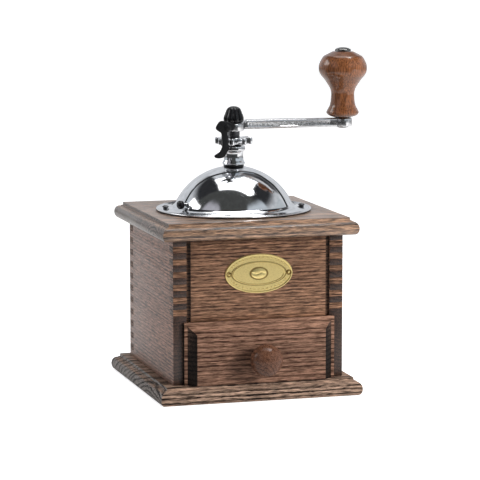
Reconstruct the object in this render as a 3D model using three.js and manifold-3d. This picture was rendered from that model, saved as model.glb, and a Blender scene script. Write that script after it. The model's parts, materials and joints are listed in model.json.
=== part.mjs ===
// A hand cranked coffee grinder: a box-jointed wooden case with a drawer, a steel dome with a turning door,
// conical burrs inside the case, and a crank with an adjusting wheel and a catch on top.
// Lengths are in millimetres, +Z is up, the front is -Y, and the origin is the middle of the underside.
import * as THREE from 'three';
import { mergeVertices } from 'three/addons/utils/BufferGeometryUtils.js';
import Module from 'manifold-3d';

const wasm = await Module();
wasm.setup();

// Fits, shared by all pieces
const glue = 0.1;              // gap left at each glued or seated face
const running = 0.1;           // radial clearance of a shaft in its bearing
const hole = 0.2;              // radial clearance of a screw in its hole
const overrun = 1;             // how far each cut runs past its face
const weld = 0.0001;           // vertices closer than this are one

// Case
const baseWidth = 130;
const baseThickness = 11;
const topWidth = 125.8;
const topThickness = 10.5;
const mouldingWidth = 4.8;
const bodyWidth = 109.2;
const bodyHeight = 90;
const wall = 8.5;
const cornerGrooveWidth = 2.65;
const cornerGrooveDepth = 1.5;
const fingerRows = 23;
const frontFingerRows = 13;
// The moulded edge, from the bottom up: share of the moulding's width inwards, share of the board's height
const mouldingShares = [
  [0.42, 0], [0.2, 0.07], [0.05, 0.2], [0, 0.38], [0.07, 0.55], [0.24, 0.68], [0.5, 0.76], [0.78, 0.78],
  [0.78, 0.82], [1, 0.82], [1, 1],
];

// Wood screws that hold the case to the base
const caseScrewRadius = 1.6;
const caseScrewHeadRadius = 3.4;
const caseScrewHeadHeight = 2.6;
const caseScrewSink = 0.6;
const caseScrewLength = 30;
const caseScrewInset = 19.6;   // from the front and the back of the case

// Drawer
const drawerFrontWidth = 96.8;
const drawerTopGap = 0.15;      // between the lip's top and the front board's lower edge
const drawerLip = 2.8;
const drawerLipFlat = 2;
const drawerBevelWidth = 5.1;
const drawerBevelDepth = 4.4;
const drawerTongue = 6.5;
const drawerClearance = 0.5;   // between the box of the drawer and the sides of the case
const drawerLift = 0.3;        // running gap under the drawer
const drawerWall = 5;
const drawerBoxDrop = 5;       // of the box of the drawer below the top of its lip
const drawerRearGap = 2.2;     // behind the drawer
const drawerBottomThickness = 3;
const drawerBottomRise = 1.5;
const drawerGroove = 2;
const drawerKnobRadius = 10;
const drawerKnobHalfLength = 9.2;
const drawerKnobNeckRadius = 5;
const drawerKnobNeckLength = 1.6;
const drawerKnobHeight = 16;   // above the base board
const knobScrewRadius = 1.8;
const knobScrewHeadRadius = 3.6;
const knobScrewHeadHeight = 1.8;
const knobScrewBite = 9;

// Oval plate on the front
const plateWidth = 43.4;
const plateHeight = 24.6;
const plateThickness = 0.9;
const plateCentreShare = 0.558; // middle of the plate on the height of the front board
const plateBeadWidth = 33.4;
const plateBeadHeight = 14.2;
const plateBeadSize = 0.5;
const platePinSpread = 18.6;
const platePinRadius = 0.5;
const platePinHeadRadius = 1;
const platePinHeadHeight = 0.5;
const platePinLength = 4;

// Dome, its flange and its door
const domeOver = 3.8;          // radius of the dome over that of the hole for the bowl
const domeSinkShare = 0.317;   // centre of the dome's sphere below the top board's face, on its radius
const domeSheet = 0.8;
const flangeWidth = 11.1;
const flangeSheet = 1;
const flangeRise = 3.2;        // height of the flange where it turns up into the dome
const flangeRootOver = 1;      // radius where it does, over that of the hole for the bowl
const doorSheet = 0.9;
const doorGap = 0.3;           // between hood and door
const doorBottom = 1.1;        // lower edge of the door above the top board
const doorRingRadius = 12;
const doorFrom = 190;
const doorTo = 324;
const openingFrom = 194.5;
const openingTo = 319.5;
const openingSill = 3.8;       // lower edge of the opening above the top board
// The opening's upper edge in plan: share of the opening's angle, share of the dome's radius
const openingShares = [
  [0, 1], [0, 0.72], [0.03, 0.6], [0.085, 0.5], [0.2, 0.4], [0.5, 0.32], [0.8, 0.35], [0.9, 0.4], [0.95, 0.48],
  [0.98, 0.6], [1, 0.72], [1, 1],
];
const doorLeafShares = [[0, 1], [0, 0.15], [1, 0.15], [1, 1]];
const doorKnobAngle = 198.5;
const doorKnobRise = 5.8;
const doorKnobRadius = 2.7;
const doorKnobLength = 3.9;
const doorKnobStemRadius = 1.2;
const doorKnobStemInside = 1;
const doorKnobStemOut = 2.9;   // between the door and the knob
const hoodScrewAngle = 171;
const hoodScrewOut = 5.3;      // from the inner edge of the flange
const hoodScrewRadius = 1.6;
const hoodScrewHeadRadius = 2.1;
const hoodScrewHeadHeight = 1.3;
const hoodScrewBite = 9.5;
const hoodScrewSeatShare = 0.62; // of the rise of the flange, where the inner edge of the head rests

// Neck post on the dome
const neckHeight = 12.8;
const neckFlareRadius = 7.3;
const spigotRadius = 5.5;
const retainerRadius = 7.6;
const retainerThickness = 1.6;
const retainerFlats = 6;

// Shaft and what sits on it
const shaftRadius = 4;
const shaftEnd = 0.7;          // of the shaft below its lower bearing
const threadLength = 3.9;      // of the shaft above the adjusting wheel
const squareWidth = 5.6;
const studRadius = 2.5;
const studLength = 7;
const springCollarRadius = 6.4;
const springCollarRise = 4.8;
const springCollarThickness = 1.5;
const springWireRadius = 0.6;
const springRadius = 5.3;
const springTurns = 5;
const springStepsPerTurn = 8;
const washerRadius = 5.2;
const washerThickness = 1;
const wheelGap = 0.2;
const wheelThickness = 4.2;
const wheelRadius = 12;
const wheelHubRadius = 6.5;
const wheelTeeth = 8;
const wheelToothWidth = 3.6;

// Crank
const crankReach = 72.7;
const armWidth = 7;
const armThickness = 5.9;
const armStep = 1.1;           // underside of the arm above that of the hub
const armStart = 7.3;          // where the arm rises beside the nut
const armBevel = 0.8;
const hubRadius = 6.6;
const hubThickness = 4.8;
const bossRadius = 6;
const bossDrop = 0.5;          // of the arm's top from the hub to the boss
const lugWidth = 5.8;
const lugEnd = 10.4;
const nutRadius = 6.6;
const seatGap = 0.2;           // under the hub and under the nut
const nutHeight = 10.9;
const nutLobes = 8;
const nutFlute = 0.45;
const knobRadius = 15.4;
const knobHeight = 42.1;
const knobGap = 0.3;
const spindleRadius = 2.4;
const spindleHeadRadius = 5.2;
const spindleHeadHeight = 2.4;
const spindleHeadShares = [[1, 0], [0.92, 0.5], [0.5, 0.9], [0, 1]];
const spindleFootRadius = 4;
const spindleFootHeight = 1.1;

// Catch lever, a flat plate in front of the hub
const catchThickness = 1.6;
const catchFace = 11.4;        // its rear face in front of the shaft's axis
const catchReach = 13.4;       // the plate's width, which its outline's shares follow
const catchHeight = 23.6;      // the plate's height, which its outline's shares follow
const catchDrop = 15.9;        // its foot below the hub
const catchLeft = -15.9;
const catchPinOut = 7.5;
const catchPinRise = 3.1;      // above the underside of the hub
const catchPinRadius = 1.2;
const catchPinHeadRadius = 2.2;
const catchPinHeadHeight = 0.9;
const catchPinBite = 3.2;
const catchNoseDepth = 3.4;    // of the nose behind the plate, which goes between two teeth
const catchNoseWidth = 1.5;
const catchNoseGap = 0.2;      // between the nose and the tips of the teeth

// Hopper bowl, burrs and what holds them
const housingClearance = 0.7;  // between the flange of the housing and the sides of the case
const housingFlangeWidth = 8.2;
const housingFlangeThickness = 3.4;
const housingShoulder = 0.5;   // of its outer skin over the hole, under the flange
const housingRise = 1.9;       // mouth of the housing above the lower edge of the front board
const housingMouth = 20;       // inner radius where the outer burr sits
const housingWall = 4;
const housingLedgeWidth = 1.5;
const housingLedgeGap = 0.8;   // over the outer burr
const housingNeck = 1.2;       // of the housing's straight part above the ledge
const housingScrewOut = 4.3;   // from the edge of the hole for the bowl
const housingScrewRadius = 1.5;
const housingScrewLength = 7;
const housingScrewHeadRadius = 2.8;
const housingScrewHeadHeight = 1.6;
const housingScrews = 3;
const bowlRimWidth = 2.4;
const bowlSheet = 0.8;
const bowlSeat = 1;
const bowlEnd = 1.9;           // foot of the bowl above the straight part of the housing
const bowlClearance = 1.5;     // between the foot of the bowl and the housing
const burrHeight = 16.4;
const burrRise = 1.6;          // burrs above the mouth of the housing
const burrFit = 0.2;
const burrRingWall = 1.4;
const burrTaper = 7.6;         // radius that the inner burr loses on its height
const burrTeeth = 12;
const burrToothDepth = 1.4;
const burrTwist = 40;
const burrGap = 0.8;
const burrNutRadius = 6.4;
const burrNutHeight = 1.5;
const burrNutFlats = 6;
const bridgeThickness = 3;
const bridgeWidth = 9;
const bridgeHubRadius = 7.6;
const bridgeScrewRadius = 1.1;
const bridgeScrewHeadRadius = 2.2;
const bridgeScrewHeadHeight = 1.6;
const bridgeScrewLength = 9;

// Fineness of the round shapes
const roundSides = 24;
const domeSides = 40;
const smallSides = 12;
const domeSteps = 7;           // from the foot of the dome to its crown
const openingSteps = 22;
const rad = Math.PI / 180;

// Heights above the underside of the base
const bodyTop = baseThickness + bodyHeight;
const deck = bodyTop + topThickness;
const bodyHalf = bodyWidth / 2;
const innerHalf = bodyHalf - wall;
const fingerPitch = bodyHeight / fingerRows;
const frontBottom = bodyTop - frontFingerRows * fingerPitch;
const housingFlangeRadius = innerHalf - housingClearance;
const bowlHoleRadius = housingFlangeRadius - housingFlangeWidth;
const bowlRimRadius = bowlHoleRadius + bowlRimWidth;
const domeRadius = bowlHoleRadius + domeOver;
const domeSink = domeSinkShare * domeRadius;
const domeCentre = deck - domeSink;
const flangeRoot = bowlHoleRadius + flangeRootOver;
const flangeRadius = flangeRoot + flangeWidth;
const housingBottom = frontBottom + housingRise;
const housingWaistRadius = housingMouth + housingWall;
const housingThroat = housingMouth - housingLedgeWidth;
const innerBurrRadius = housingMouth - burrFit - burrRingWall - burrToothDepth - burrGap;
const burrLow = housingBottom + burrRise;
const burrTop = burrLow + burrHeight;
const housingLedge = burrTop + housingLedgeGap;
const housingWaist = housingLedge + housingNeck;

// Materials
function material(colour, roughness, metalness) {
  return new THREE.MeshStandardMaterial({ color: colour, roughness, metalness });
}
const wood = material(0x7a5340, 0.6, 0);
const endWood = material(0x8a6248, 0.6, 0);
const varnished = material(0x9a5230, 0.25, 0);
const chrome = material(0xd8dadc, 0.08, 1);
const steel = material(0xa9adb0, 0.35, 1);
const iron = material(0x3d3f41, 0.6, 1);
const black = material(0x17181a, 0.45, 0);
const brass = material(0xd2bd6a, 0.3, 1);

// Solids
function solid(geometry) {
  const bare = new THREE.BufferGeometry();
  bare.setAttribute('position', geometry.getAttribute('position'));
  if (geometry.index) bare.setIndex(geometry.index);
  const welded = mergeVertices(bare, weld);
  const at = welded.getAttribute('position');
  const index = welded.index.array;
  const faces = [];
  let volume = 0;
  const a = new THREE.Vector3();
  const b = new THREE.Vector3();
  const c = new THREE.Vector3();
  for (let i = 0; i < index.length; i += 3) {
    const [p, q, r] = [index[i], index[i + 1], index[i + 2]];
    if (p === q || q === r || r === p) continue;
    faces.push([p, q, r]);
    a.fromBufferAttribute(at, p);
    b.fromBufferAttribute(at, q);
    c.fromBufferAttribute(at, r);
    volume += a.dot(b.cross(c));
  }
  const outward = volume < 0 ? faces.map(([p, q, r]) => [p, r, q]) : faces;
  return new wasm.Manifold(new wasm.Mesh({
    numProp: 3,
    vertProperties: Float32Array.from(at.array),
    triVerts: Uint32Array.from(outward.flat()),
  }));
}

function join(...pieces) {
  return pieces.reduce((whole, piece) => whole.add(piece));
}

function cut(body, ...tools) {
  return tools.reduce((rest, tool) => rest.subtract(tool), body);
}

function block(low, high) {
  const size = high.map((value, i) => value - low[i]);
  const geometry = new THREE.BoxGeometry(...size);
  geometry.translate(...low.map((value, i) => value + size[i] / 2));
  return solid(geometry);
}

// A turned shape about the vertical axis through x, y; each point is a radius and a height
function turned(points, sides = roundSides, x = 0, y = 0) {
  const closed = points.map(([r, z]) => new THREE.Vector2(r, z));
  const geometry = new THREE.LatheGeometry(closed, sides);
  geometry.rotateX(Math.PI / 2);
  geometry.translate(x, y, 0);
  return solid(geometry);
}

function rod(radius, low, high, sides = roundSides, x = 0, y = 0) {
  return turned([[0, low], [radius, low], [radius, high], [0, high]], sides, x, y);
}

function ring(outer, inner, low, high, sides = roundSides) {
  return turned([[inner, low], [outer, low], [outer, high], [inner, high], [inner, low]], sides);
}

// The same turned shape, with its axis along the front direction, -Y, starting at the plane y = from
function turnedForward(points, sides, x, from, z) {
  const geometry = new THREE.LatheGeometry(points.map(([r, d]) => new THREE.Vector2(r, -d)), sides);
  geometry.translate(x, from, z);
  return solid(geometry);
}

// A vertical prism over an outline in plan
function prism(shape, low, high) {
  const depth = high - low;
  const geometry = new THREE.ExtrudeGeometry(shape, { depth, bevelEnabled: false, curveSegments: roundSides });
  geometry.translate(0, 0, low);
  return solid(geometry);
}

// A plate that stands upright: its outline is in x and z, and it runs from y = front to y = rear
function upright(shape, front, rear, bevel = 0) {
  const geometry = new THREE.ExtrudeGeometry(shape, {
    depth: rear - front - 2 * bevel,
    bevelEnabled: bevel > 0,
    bevelSize: bevel,
    bevelThickness: bevel,
    bevelOffset: -bevel,
    bevelSegments: 2,
    curveSegments: smallSides,
  });
  geometry.rotateX(Math.PI / 2);
  geometry.translate(0, rear - bevel, 0);
  return solid(geometry);
}

function outline(points) {
  return new THREE.Shape(points.map(([x, y]) => new THREE.Vector2(x, y)));
}

function oval(width, height, x, y) {
  const shape = new THREE.Shape();
  shape.absellipse(x, y, width / 2, height / 2, 0, 2 * Math.PI);
  return shape;
}

// Rings of points, joined into a closed skin with a point in the middle of each end
function skin(rings) {
  const sides = rings[0].length;
  const vertices = rings.flat(2);
  const faces = [];
  for (let level = 0; level < rings.length - 1; level += 1) {
    for (let k = 0; k < sides; k += 1) {
      const a = level * sides + k;
      const b = level * sides + ((k + 1) % sides);
      faces.push(a, b, b + sides, a, b + sides, a + sides);
    }
  }
  for (const [level, turn] of [[0, 1], [rings.length - 1, 0]]) {
    const middle = vertices.length / 3;
    const sum = rings[level].reduce((s, p) => s.map((value, i) => value + p[i] / sides), [0, 0, 0]);
    vertices.push(...sum);
    for (let k = 0; k < sides; k += 1) {
      const a = level * sides + k;
      const b = level * sides + ((k + 1) % sides);
      faces.push(...(turn ? [b, a, middle] : [a, b, middle]));
    }
  }
  const geometry = new THREE.BufferGeometry();
  geometry.setAttribute('position', new THREE.Float32BufferAttribute(vertices, 3));
  geometry.setIndex(faces);
  return solid(geometry);
}

function rectangle(x0, x1, z0, z1, y) {
  return [[x0, y, z0], [x1, y, z0], [x1, y, z1], [x0, y, z1]];
}

function square(half, z) {
  return [[-half, -half, z], [half, -half, z], [half, half, z], [-half, half, z]];
}

// A ring of lobes or teeth about the vertical axis
function lobed(radius, depth, lobes, z, turn = 0, perLobe = 4) {
  const count = lobes * perLobe;
  return Array.from({ length: count }, (_, k) => {
    const angle = (2 * Math.PI * k) / count;
    const r = radius - depth * (0.5 - 0.5 * Math.cos(lobes * angle));
    return [r * Math.cos(angle + turn), r * Math.sin(angle + turn), z];
  });
}

function shares(table, width, height, x = 0, z = 0) {
  return table.map(([u, v]) => [x + u * width, z + v * height]);
}

function polar(radius, degrees) {
  return [radius * Math.cos(degrees * rad), radius * Math.sin(degrees * rad)];
}

// Points on an arc about the point (0, height), in radius and height, between two angles in radians
function arc(radius, height, from, to, steps) {
  return Array.from({ length: steps + 1 }, (_, k) => {
    const angle = from + ((to - from) * k) / steps;
    return [radius * Math.cos(angle), height + radius * Math.sin(angle)];
  });
}

// Half the outline of a fastener that points to higher values: a domed head under its seat, and a pointed shank
const headShares = [[0, 1], [0.6, 1], [1, 0.4], [1, 0]];

function fastener(radius, length, headRadius, headHeight, seat, way = 1) {
  const head = headShares.map(([u, v]) => [u * headRadius, seat - way * v * headHeight]);
  return [...head, [radius, seat], [radius, seat + way * (length - radius)], [0, seat + way * length]];
}

function screw(radius, length, headRadius, headHeight, z, up, x, y) {
  return turned(fastener(radius, length, headRadius, headHeight, z, up ? 1 : -1), smallSides, x, y);
}

const model = new THREE.Group();

function add(name, body, finish) {
  const made = body.getMesh();
  const geometry = new THREE.BufferGeometry();
  geometry.setAttribute('position', new THREE.BufferAttribute(new Float32Array(made.vertProperties), 3));
  geometry.setIndex(new THREE.BufferAttribute(new Uint32Array(made.triVerts), 1));
  const mesh = new THREE.Mesh(geometry, finish);
  mesh.name = name;
  model.add(mesh);
}

// Case boards
function mouldedBoard(width, thickness, bottom) {
  const half = width / 2;
  return skin(mouldingShares.map(([u, v]) => square(half - u * mouldingWidth, bottom + v * thickness)));
}

const caseScrewPlaces = [[-1, -1], [1, -1], [-1, 1], [1, 1]].map(([sx, sy]) => (
  [sx * (bodyHalf - wall / 2), sy * (bodyHalf - caseScrewInset)]));

function caseScrewCut(x, y, top, gap) {
  return rod(caseScrewRadius + gap, -overrun, top, smallSides, x, y);
}

function caseScrewHead(x, y, gap) {
  const sink = caseScrewSink - gap;
  return turned([
    [0, -overrun], [caseScrewHeadRadius + gap, -overrun], [caseScrewHeadRadius + gap, sink],
    [caseScrewRadius, sink + caseScrewHeadHeight + 2 * gap], [0, sink + caseScrewHeadHeight + 2 * gap],
  ], smallSides, x, y);
}

function baseBoard() {
  const holes = caseScrewPlaces.flatMap(([x, y]) => (
    [caseScrewCut(x, y, baseThickness + overrun, hole), caseScrewHead(x, y, hole)]));
  return cut(mouldedBoard(baseWidth, baseThickness, 0), ...holes);
}

function caseScrew([x, y]) {
  return turned([
    [0, caseScrewSink], [caseScrewHeadRadius, caseScrewSink],
    [caseScrewRadius, caseScrewSink + caseScrewHeadHeight],
    [caseScrewRadius, caseScrewLength - caseScrewRadius], [0, caseScrewLength],
  ], smallSides, x, y);
}

const hoodScrewPlaces = [hoodScrewAngle, hoodScrewAngle + 180].map((angle) => (
  polar(flangeRoot + hoodScrewOut, angle)));
const housingScrewPlaces = Array.from({ length: housingScrews }, (_, k) => (
  polar(bowlHoleRadius + housingScrewOut, 90 + (360 * k) / housingScrews)));

function topBoard() {
  const board = mouldedBoard(topWidth, topThickness, bodyTop);
  return cut(
    board,
    rod(bowlHoleRadius, bodyTop - overrun, deck + overrun, domeSides),
    rod(bowlRimRadius + 2 * hole, deck - bowlSeat, deck + overrun, domeSides),
    ...hoodScrewPlaces.map(([x, y]) => (
      rod(hoodScrewRadius + glue, deck - hoodScrewBite, deck + overrun, smallSides, x, y))),
    ...housingScrewPlaces.map(([x, y]) => (
      rod(housingScrewRadius + glue, bodyTop - overrun, bodyTop + housingScrewLength, smallSides, x, y))),
  );
}

function rows(count, first, shrink, x0, x1, y0, y1) {
  const boxes = [];
  for (let row = first; row < count; row += 2) {
    const high = bodyTop - row * fingerPitch;
    boxes.push(block([x0, y0, high - fingerPitch + shrink], [x1, y1, high - shrink]));
  }
  return boxes;
}

function sideBoard(side) {
  const [x0, x1] = side < 0 ? [-bodyHalf, -innerHalf] : [innerHalf, bodyHalf];
  const board = block([x0, -bodyHalf, baseThickness + glue], [x1, bodyHalf, bodyTop - glue]);
  const reach = [x0 - overrun, x1 + overrun];
  const screws = caseScrewPlaces.filter(([x]) => x * side > 0);
  return cut(
    board,
    ...rows(frontFingerRows, 1, 0, ...reach, -bodyHalf - overrun, -innerHalf + glue),
    ...rows(fingerRows, 1, 0, ...reach, innerHalf - glue, bodyHalf + overrun),
    ...screws.map(([x, y]) => caseScrewCut(x, y, caseScrewLength + glue, glue)),
  );
}

const platePinPlaces = [-platePinSpread, platePinSpread];
const plateCentre = frontBottom + plateCentreShare * (bodyTop - frontBottom);

function jointedBoard(y0, y1, bottom, rowCount) {
  const panel = block([-innerHalf + glue, y0, bottom + glue], [innerHalf - glue, y1, bodyTop - glue]);
  const left = rows(rowCount, 1, glue, -bodyHalf, -innerHalf + overrun, y0, y1);
  const right = rows(rowCount, 1, glue, innerHalf - overrun, bodyHalf, y0, y1);
  return join(panel, ...left, ...right);
}

function frontBoard() {
  const board = jointedBoard(-bodyHalf, -innerHalf, frontBottom, frontFingerRows);
  const grooves = [-1, 1].map((side) => {
    const x = [side * (innerHalf - cornerGrooveWidth), side * (innerHalf - glue)].sort((p, q) => p - q);
    return block(
      [x[0], -bodyHalf - overrun, frontBottom - overrun],
      [x[1], -bodyHalf + cornerGrooveDepth, bodyTop + overrun],
    );
  });
  const pins = platePinPlaces.map((x) => turnedForward([
    [0, -platePinLength - glue], [platePinRadius + glue, -platePinLength - glue],
    [platePinRadius + glue, overrun], [0, overrun],
  ], smallSides, x, -bodyHalf, plateCentre));
  return cut(board, ...grooves, ...pins);
}

// Drawer
const drawerFloor = baseThickness + drawerLift;
const drawerTop = frontBottom - drawerTopGap;
const lipBack = -bodyHalf - glue;
const lipFront = lipBack - drawerLip;
const drawerFace = lipFront - drawerBevelDepth;
const tongueBack = lipBack + drawerTongue;
const drawerHalf = innerHalf - drawerClearance;
const drawerInner = drawerHalf - drawerWall;
const drawerRear = innerHalf - drawerRearGap;
const drawerBoxTop = drawerTop - drawerBoxDrop;
const drawerKnobZ = baseThickness + drawerKnobHeight;

function drawerFront() {
  const half = drawerFrontWidth / 2;
  const flat = half - drawerLipFlat;
  const face = flat - drawerBevelWidth;
  const lip = block([-half, lipFront, drawerFloor], [half, lipBack, drawerTop]);
  const bevel = skin([
    rectangle(-flat, flat, drawerFloor, drawerTop - drawerLipFlat, lipFront + drawerLip / 2),
    rectangle(-flat, flat, drawerFloor, drawerTop - drawerLipFlat, lipFront),
    rectangle(-face, face, drawerFloor, drawerTop - drawerLipFlat - drawerBevelWidth, drawerFace),
  ]);
  const tongueFront = lipBack - drawerLip / 2;
  const tongue = block([-drawerHalf, tongueFront, drawerFloor], [drawerHalf, tongueBack, drawerBoxTop]);
  const bore = turnedForward([
    [0, -overrun], [knobScrewRadius + hole, -overrun],
    [knobScrewRadius + hole, tongueBack - drawerFace + overrun], [0, tongueBack - drawerFace + overrun],
  ], smallSides, 0, tongueBack, drawerKnobZ);
  return cut(join(lip, bevel, tongue), bore, drawerBottomSpace());
}

function drawerSide(side) {
  const x = [side * drawerInner, side * drawerHalf].sort((p, q) => p - q);
  const board = block([x[0], tongueBack + glue, drawerFloor], [x[1], drawerRear, drawerBoxTop]);
  return cut(board, drawerBottomSpace());
}

function drawerBack() {
  const board = block(
    [-drawerInner + glue, drawerRear - drawerWall, drawerFloor],
    [drawerInner - glue, drawerRear, drawerBoxTop],
  );
  return cut(board, drawerBottomSpace());
}

// The grooves that the bottom lies in are its own space and a gap
function drawerBottomPanel(gap) {
  const reach = drawerInner + drawerGroove + gap;
  const low = drawerFloor + drawerBottomRise - gap;
  return block(
    [-reach, tongueBack - drawerGroove - gap, low],
    [reach, drawerRear - drawerWall + drawerGroove + gap, low + drawerBottomThickness + 2 * gap],
  );
}

function drawerBottomSpace() {
  return drawerBottomPanel(glue);
}

function drawerKnob() {
  const centre = drawerKnobNeckLength + Math.sqrt(1 - (drawerKnobNeckRadius / drawerKnobRadius) ** 2)
    * drawerKnobHalfLength;
  const start = -Math.acos(drawerKnobNeckRadius / drawerKnobRadius);
  const steps = 9;
  const ball = Array.from({ length: steps + 1 }, (_, k) => {
    const angle = start + ((Math.PI / 2 - start) * k) / steps;
    const r = k === steps ? 0 : drawerKnobRadius * Math.cos(angle);
    return [r, centre + drawerKnobHalfLength * Math.sin(angle)];
  });
  const outside = [[0, glue], [drawerKnobNeckRadius, glue], ...ball];
  const body = turnedForward(outside, roundSides, 0, drawerFace, drawerKnobZ);
  const pilot = turnedForward([
    [0, -overrun], [knobScrewRadius + glue, -overrun],
    [knobScrewRadius + glue, knobScrewBite + glue], [0, knobScrewBite + glue],
  ], smallSides, 0, drawerFace, drawerKnobZ);
  return cut(body, pilot);
}

function drawerKnobScrew() {
  const length = tongueBack - drawerFace + knobScrewBite;
  const points = fastener(knobScrewRadius, length + glue, knobScrewHeadRadius, knobScrewHeadHeight, -glue);
  return turnedForward(points, smallSides, 0, tongueBack, drawerKnobZ);
}

// Plate
function namePlate() {
  const rear = -bodyHalf - glue;
  const front = rear - plateThickness;
  const sheet = upright(oval(plateWidth, plateHeight, 0, plateCentre), front + plateBeadSize, rear);
  const bead = cut(
    upright(oval(plateBeadWidth, plateBeadHeight, 0, plateCentre), front, rear),
    upright(oval(plateBeadWidth - 2 * plateBeadSize, plateBeadHeight - 2 * plateBeadSize, 0, plateCentre),
      front - overrun, rear + overrun),
  );
  const rim = cut(
    upright(oval(plateWidth, plateHeight, 0, plateCentre), front, rear),
    upright(oval(plateWidth - 2 * plateBeadSize, plateHeight - 2 * plateBeadSize, 0, plateCentre),
      front - overrun, rear + overrun),
  );
  const pins = platePinPlaces.map((x) => turnedForward([
    [0, -overrun], [platePinRadius + glue, -overrun],
    [platePinRadius + glue, plateThickness + overrun], [0, plateThickness + overrun],
  ], smallSides, x, rear, plateCentre));
  return cut(join(sheet, bead, rim), ...pins);
}

function platePin(x) {
  const seat = glue + plateThickness - plateBeadSize + glue;
  const length = platePinLength + seat;
  const points = fastener(platePinRadius, length, platePinHeadRadius, platePinHeadHeight, seat, -1);
  return turnedForward(points, smallSides, x, -bodyHalf, plateCentre);
}

// Dome
function reachAt(radius, rise) {
  return Math.sqrt(radius ** 2 - rise ** 2);
}

function shellProfile(outer, thickness, lowRise, boreRadius, steps) {
  const inner = outer - thickness;
  const up = arc(outer, domeCentre, Math.asin(lowRise / outer), Math.acos(boreRadius / outer), steps);
  const down = arc(inner, domeCentre, Math.acos(boreRadius / inner), Math.asin(lowRise / inner), steps);
  return [...up, ...down];
}

// A sector in plan between two angles: its inner edge is a smooth line through shares of angle and radius
function sector(table, radius, from, to) {
  const inner = new THREE.SplineCurve(table.map(([u, v]) => (
    new THREE.Vector2(...polar(v * radius, from + u * (to - from))))));
  const shape = new THREE.Shape(inner.getPoints(openingSteps));
  const cornerShares = [1, 0.75, 0.5, 0.25, 0];
  cornerShares.forEach((share) => shape.lineTo(...polar(2 * radius, from + share * (to - from))));
  shape.closePath();
  return shape;
}

const flangeShares = [[1, 0], [1, 0.22], [0.95, 0.36], [0.9, 0.3], [0.3, 0.5], [0.12, 0.72], [0, 1]];
const spigotHole = spigotRadius + hole;

function hopperHood() {
  const span = flangeRadius - flangeRoot;
  const low = deck + glue;
  const skirt = shares(flangeShares, span, flangeRise, flangeRoot, low);
  const outerLow = Math.asin((domeSink + glue + flangeRise + domeSheet) / domeRadius);
  const outer = arc(domeRadius, domeCentre, outerLow, Math.acos(spigotHole / domeRadius), domeSteps);
  const insideRadius = domeRadius - domeSheet;
  const innerLow = Math.asin((domeSink + glue + flangeRise - flangeSheet) / insideRadius);
  const inner = arc(insideRadius, domeCentre, Math.acos(spigotHole / insideRadius), innerLow, domeSteps);
  const under = flangeShares.slice(1, -1).reverse().map(([u, v]) => (
    [flangeRoot + u * span - flangeSheet / 2, low + v * flangeRise - flangeSheet]));
  const lowUnder = under.filter(([, z]) => z > low + glue);
  const foot = [flangeRadius - 2 * flangeSheet, low];
  const shell = turned([...skirt, ...outer, ...inner, ...lowUnder, foot, skirt[0]], domeSides);
  const mouth = prism(
    sector(openingShares, domeRadius, openingFrom, openingTo),
    deck + openingSill,
    deck + domeRadius,
  );
  const holes = hoodScrewPlaces.map(([x, y]) => (
    rod(hoodScrewRadius + hole, deck - overrun, deck + flangeRise + overrun, smallSides, x, y)));
  return cut(shell, mouth, ...holes);
}

const hoodScrewSeat = deck + glue + flangeRise * hoodScrewSeatShare;

const doorOuter = domeRadius - domeSheet - doorGap;

function domeDoor() {
  const profile = shellProfile(doorOuter, doorSheet, domeSink + doorBottom, spigotHole, domeSteps);
  const shell = turned([...profile, profile[0]], domeSides);
  const leaf = prism(
    sector(doorLeafShares, domeRadius, doorFrom, doorTo),
    deck,
    deck + domeRadius,
  );
  const keep = join(leaf, rod(doorRingRadius, deck, deck + domeRadius));
  return cut(shell.intersect(keep), doorKnobStem(hole));
}

// The door knob's axis is level and points straight out from the shaft
function outward(points, sides, angle, z) {
  const geometry = new THREE.LatheGeometry(points.map(([r, d]) => new THREE.Vector2(r, d)), sides);
  geometry.rotateZ(-Math.PI / 2);
  geometry.rotateZ(angle * rad);
  geometry.translate(0, 0, z);
  return solid(geometry);
}

const doorKnobZ = deck + doorKnobRise;
const doorKnobSeat = reachAt(doorOuter, domeSink + doorKnobRise);
const doorKnobFoot = doorKnobSeat + doorKnobStemOut;

function doorKnobStem(gap) {
  const from = doorKnobSeat - doorKnobStemRadius - doorSheet - doorKnobStemInside;
  const radius = doorKnobStemRadius + gap;
  const to = doorKnobFoot + doorKnobLength / 2;
  return outward([[0, from], [radius, from], [radius, to], [0, to]],
    smallSides, doorKnobAngle, doorKnobZ);
}

const doorKnobShares = [[0.6, 0], [0.72, 0.12], [0.95, 0.35], [1, 0.6], [0.85, 0.85], [0.45, 0.98], [0, 1]];

function doorKnob() {
  const head = shares(doorKnobShares, doorKnobRadius, doorKnobLength, 0, doorKnobFoot);
  const body = outward([[0, doorKnobFoot], ...head], smallSides, doorKnobAngle, doorKnobZ);
  return join(body, doorKnobStem(0));
}

// Neck post with its spigot through hood and door
const retainerTop = domeCentre + reachAt(doorOuter - doorSheet, retainerRadius) - glue;
const retainerLow = retainerTop - retainerThickness;

// The spool from the foot up: share of the flare's radius, share of the height
const neckShares = [
  [0.9, 0], [1, 0.05], [1, 0.125], [0.88, 0.25], [0.87, 0.65], [1, 0.83], [1, 0.97], [0.94, 1],
];

const neckLow = domeCentre + reachAt(domeRadius, spigotHole) + glue;
const neckTop = neckLow + neckHeight;
const washerLow = neckTop + glue;
const wheelLow = washerLow + washerThickness + wheelGap;
const wheelTop = wheelLow + wheelThickness;
const shoulder = wheelTop + threadLength;
const hubLow = shoulder + seatGap;
const hubTop = hubLow + hubThickness;

function neckPost() {
  const bore = shaftRadius + running;
  return turned([
    [bore, retainerLow], [spigotRadius, retainerLow], [spigotRadius, neckLow],
    ...shares(neckShares, neckFlareRadius, neckHeight, 0, neckLow),
    [bore, neckTop], [bore, retainerLow],
  ]);
}

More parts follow.
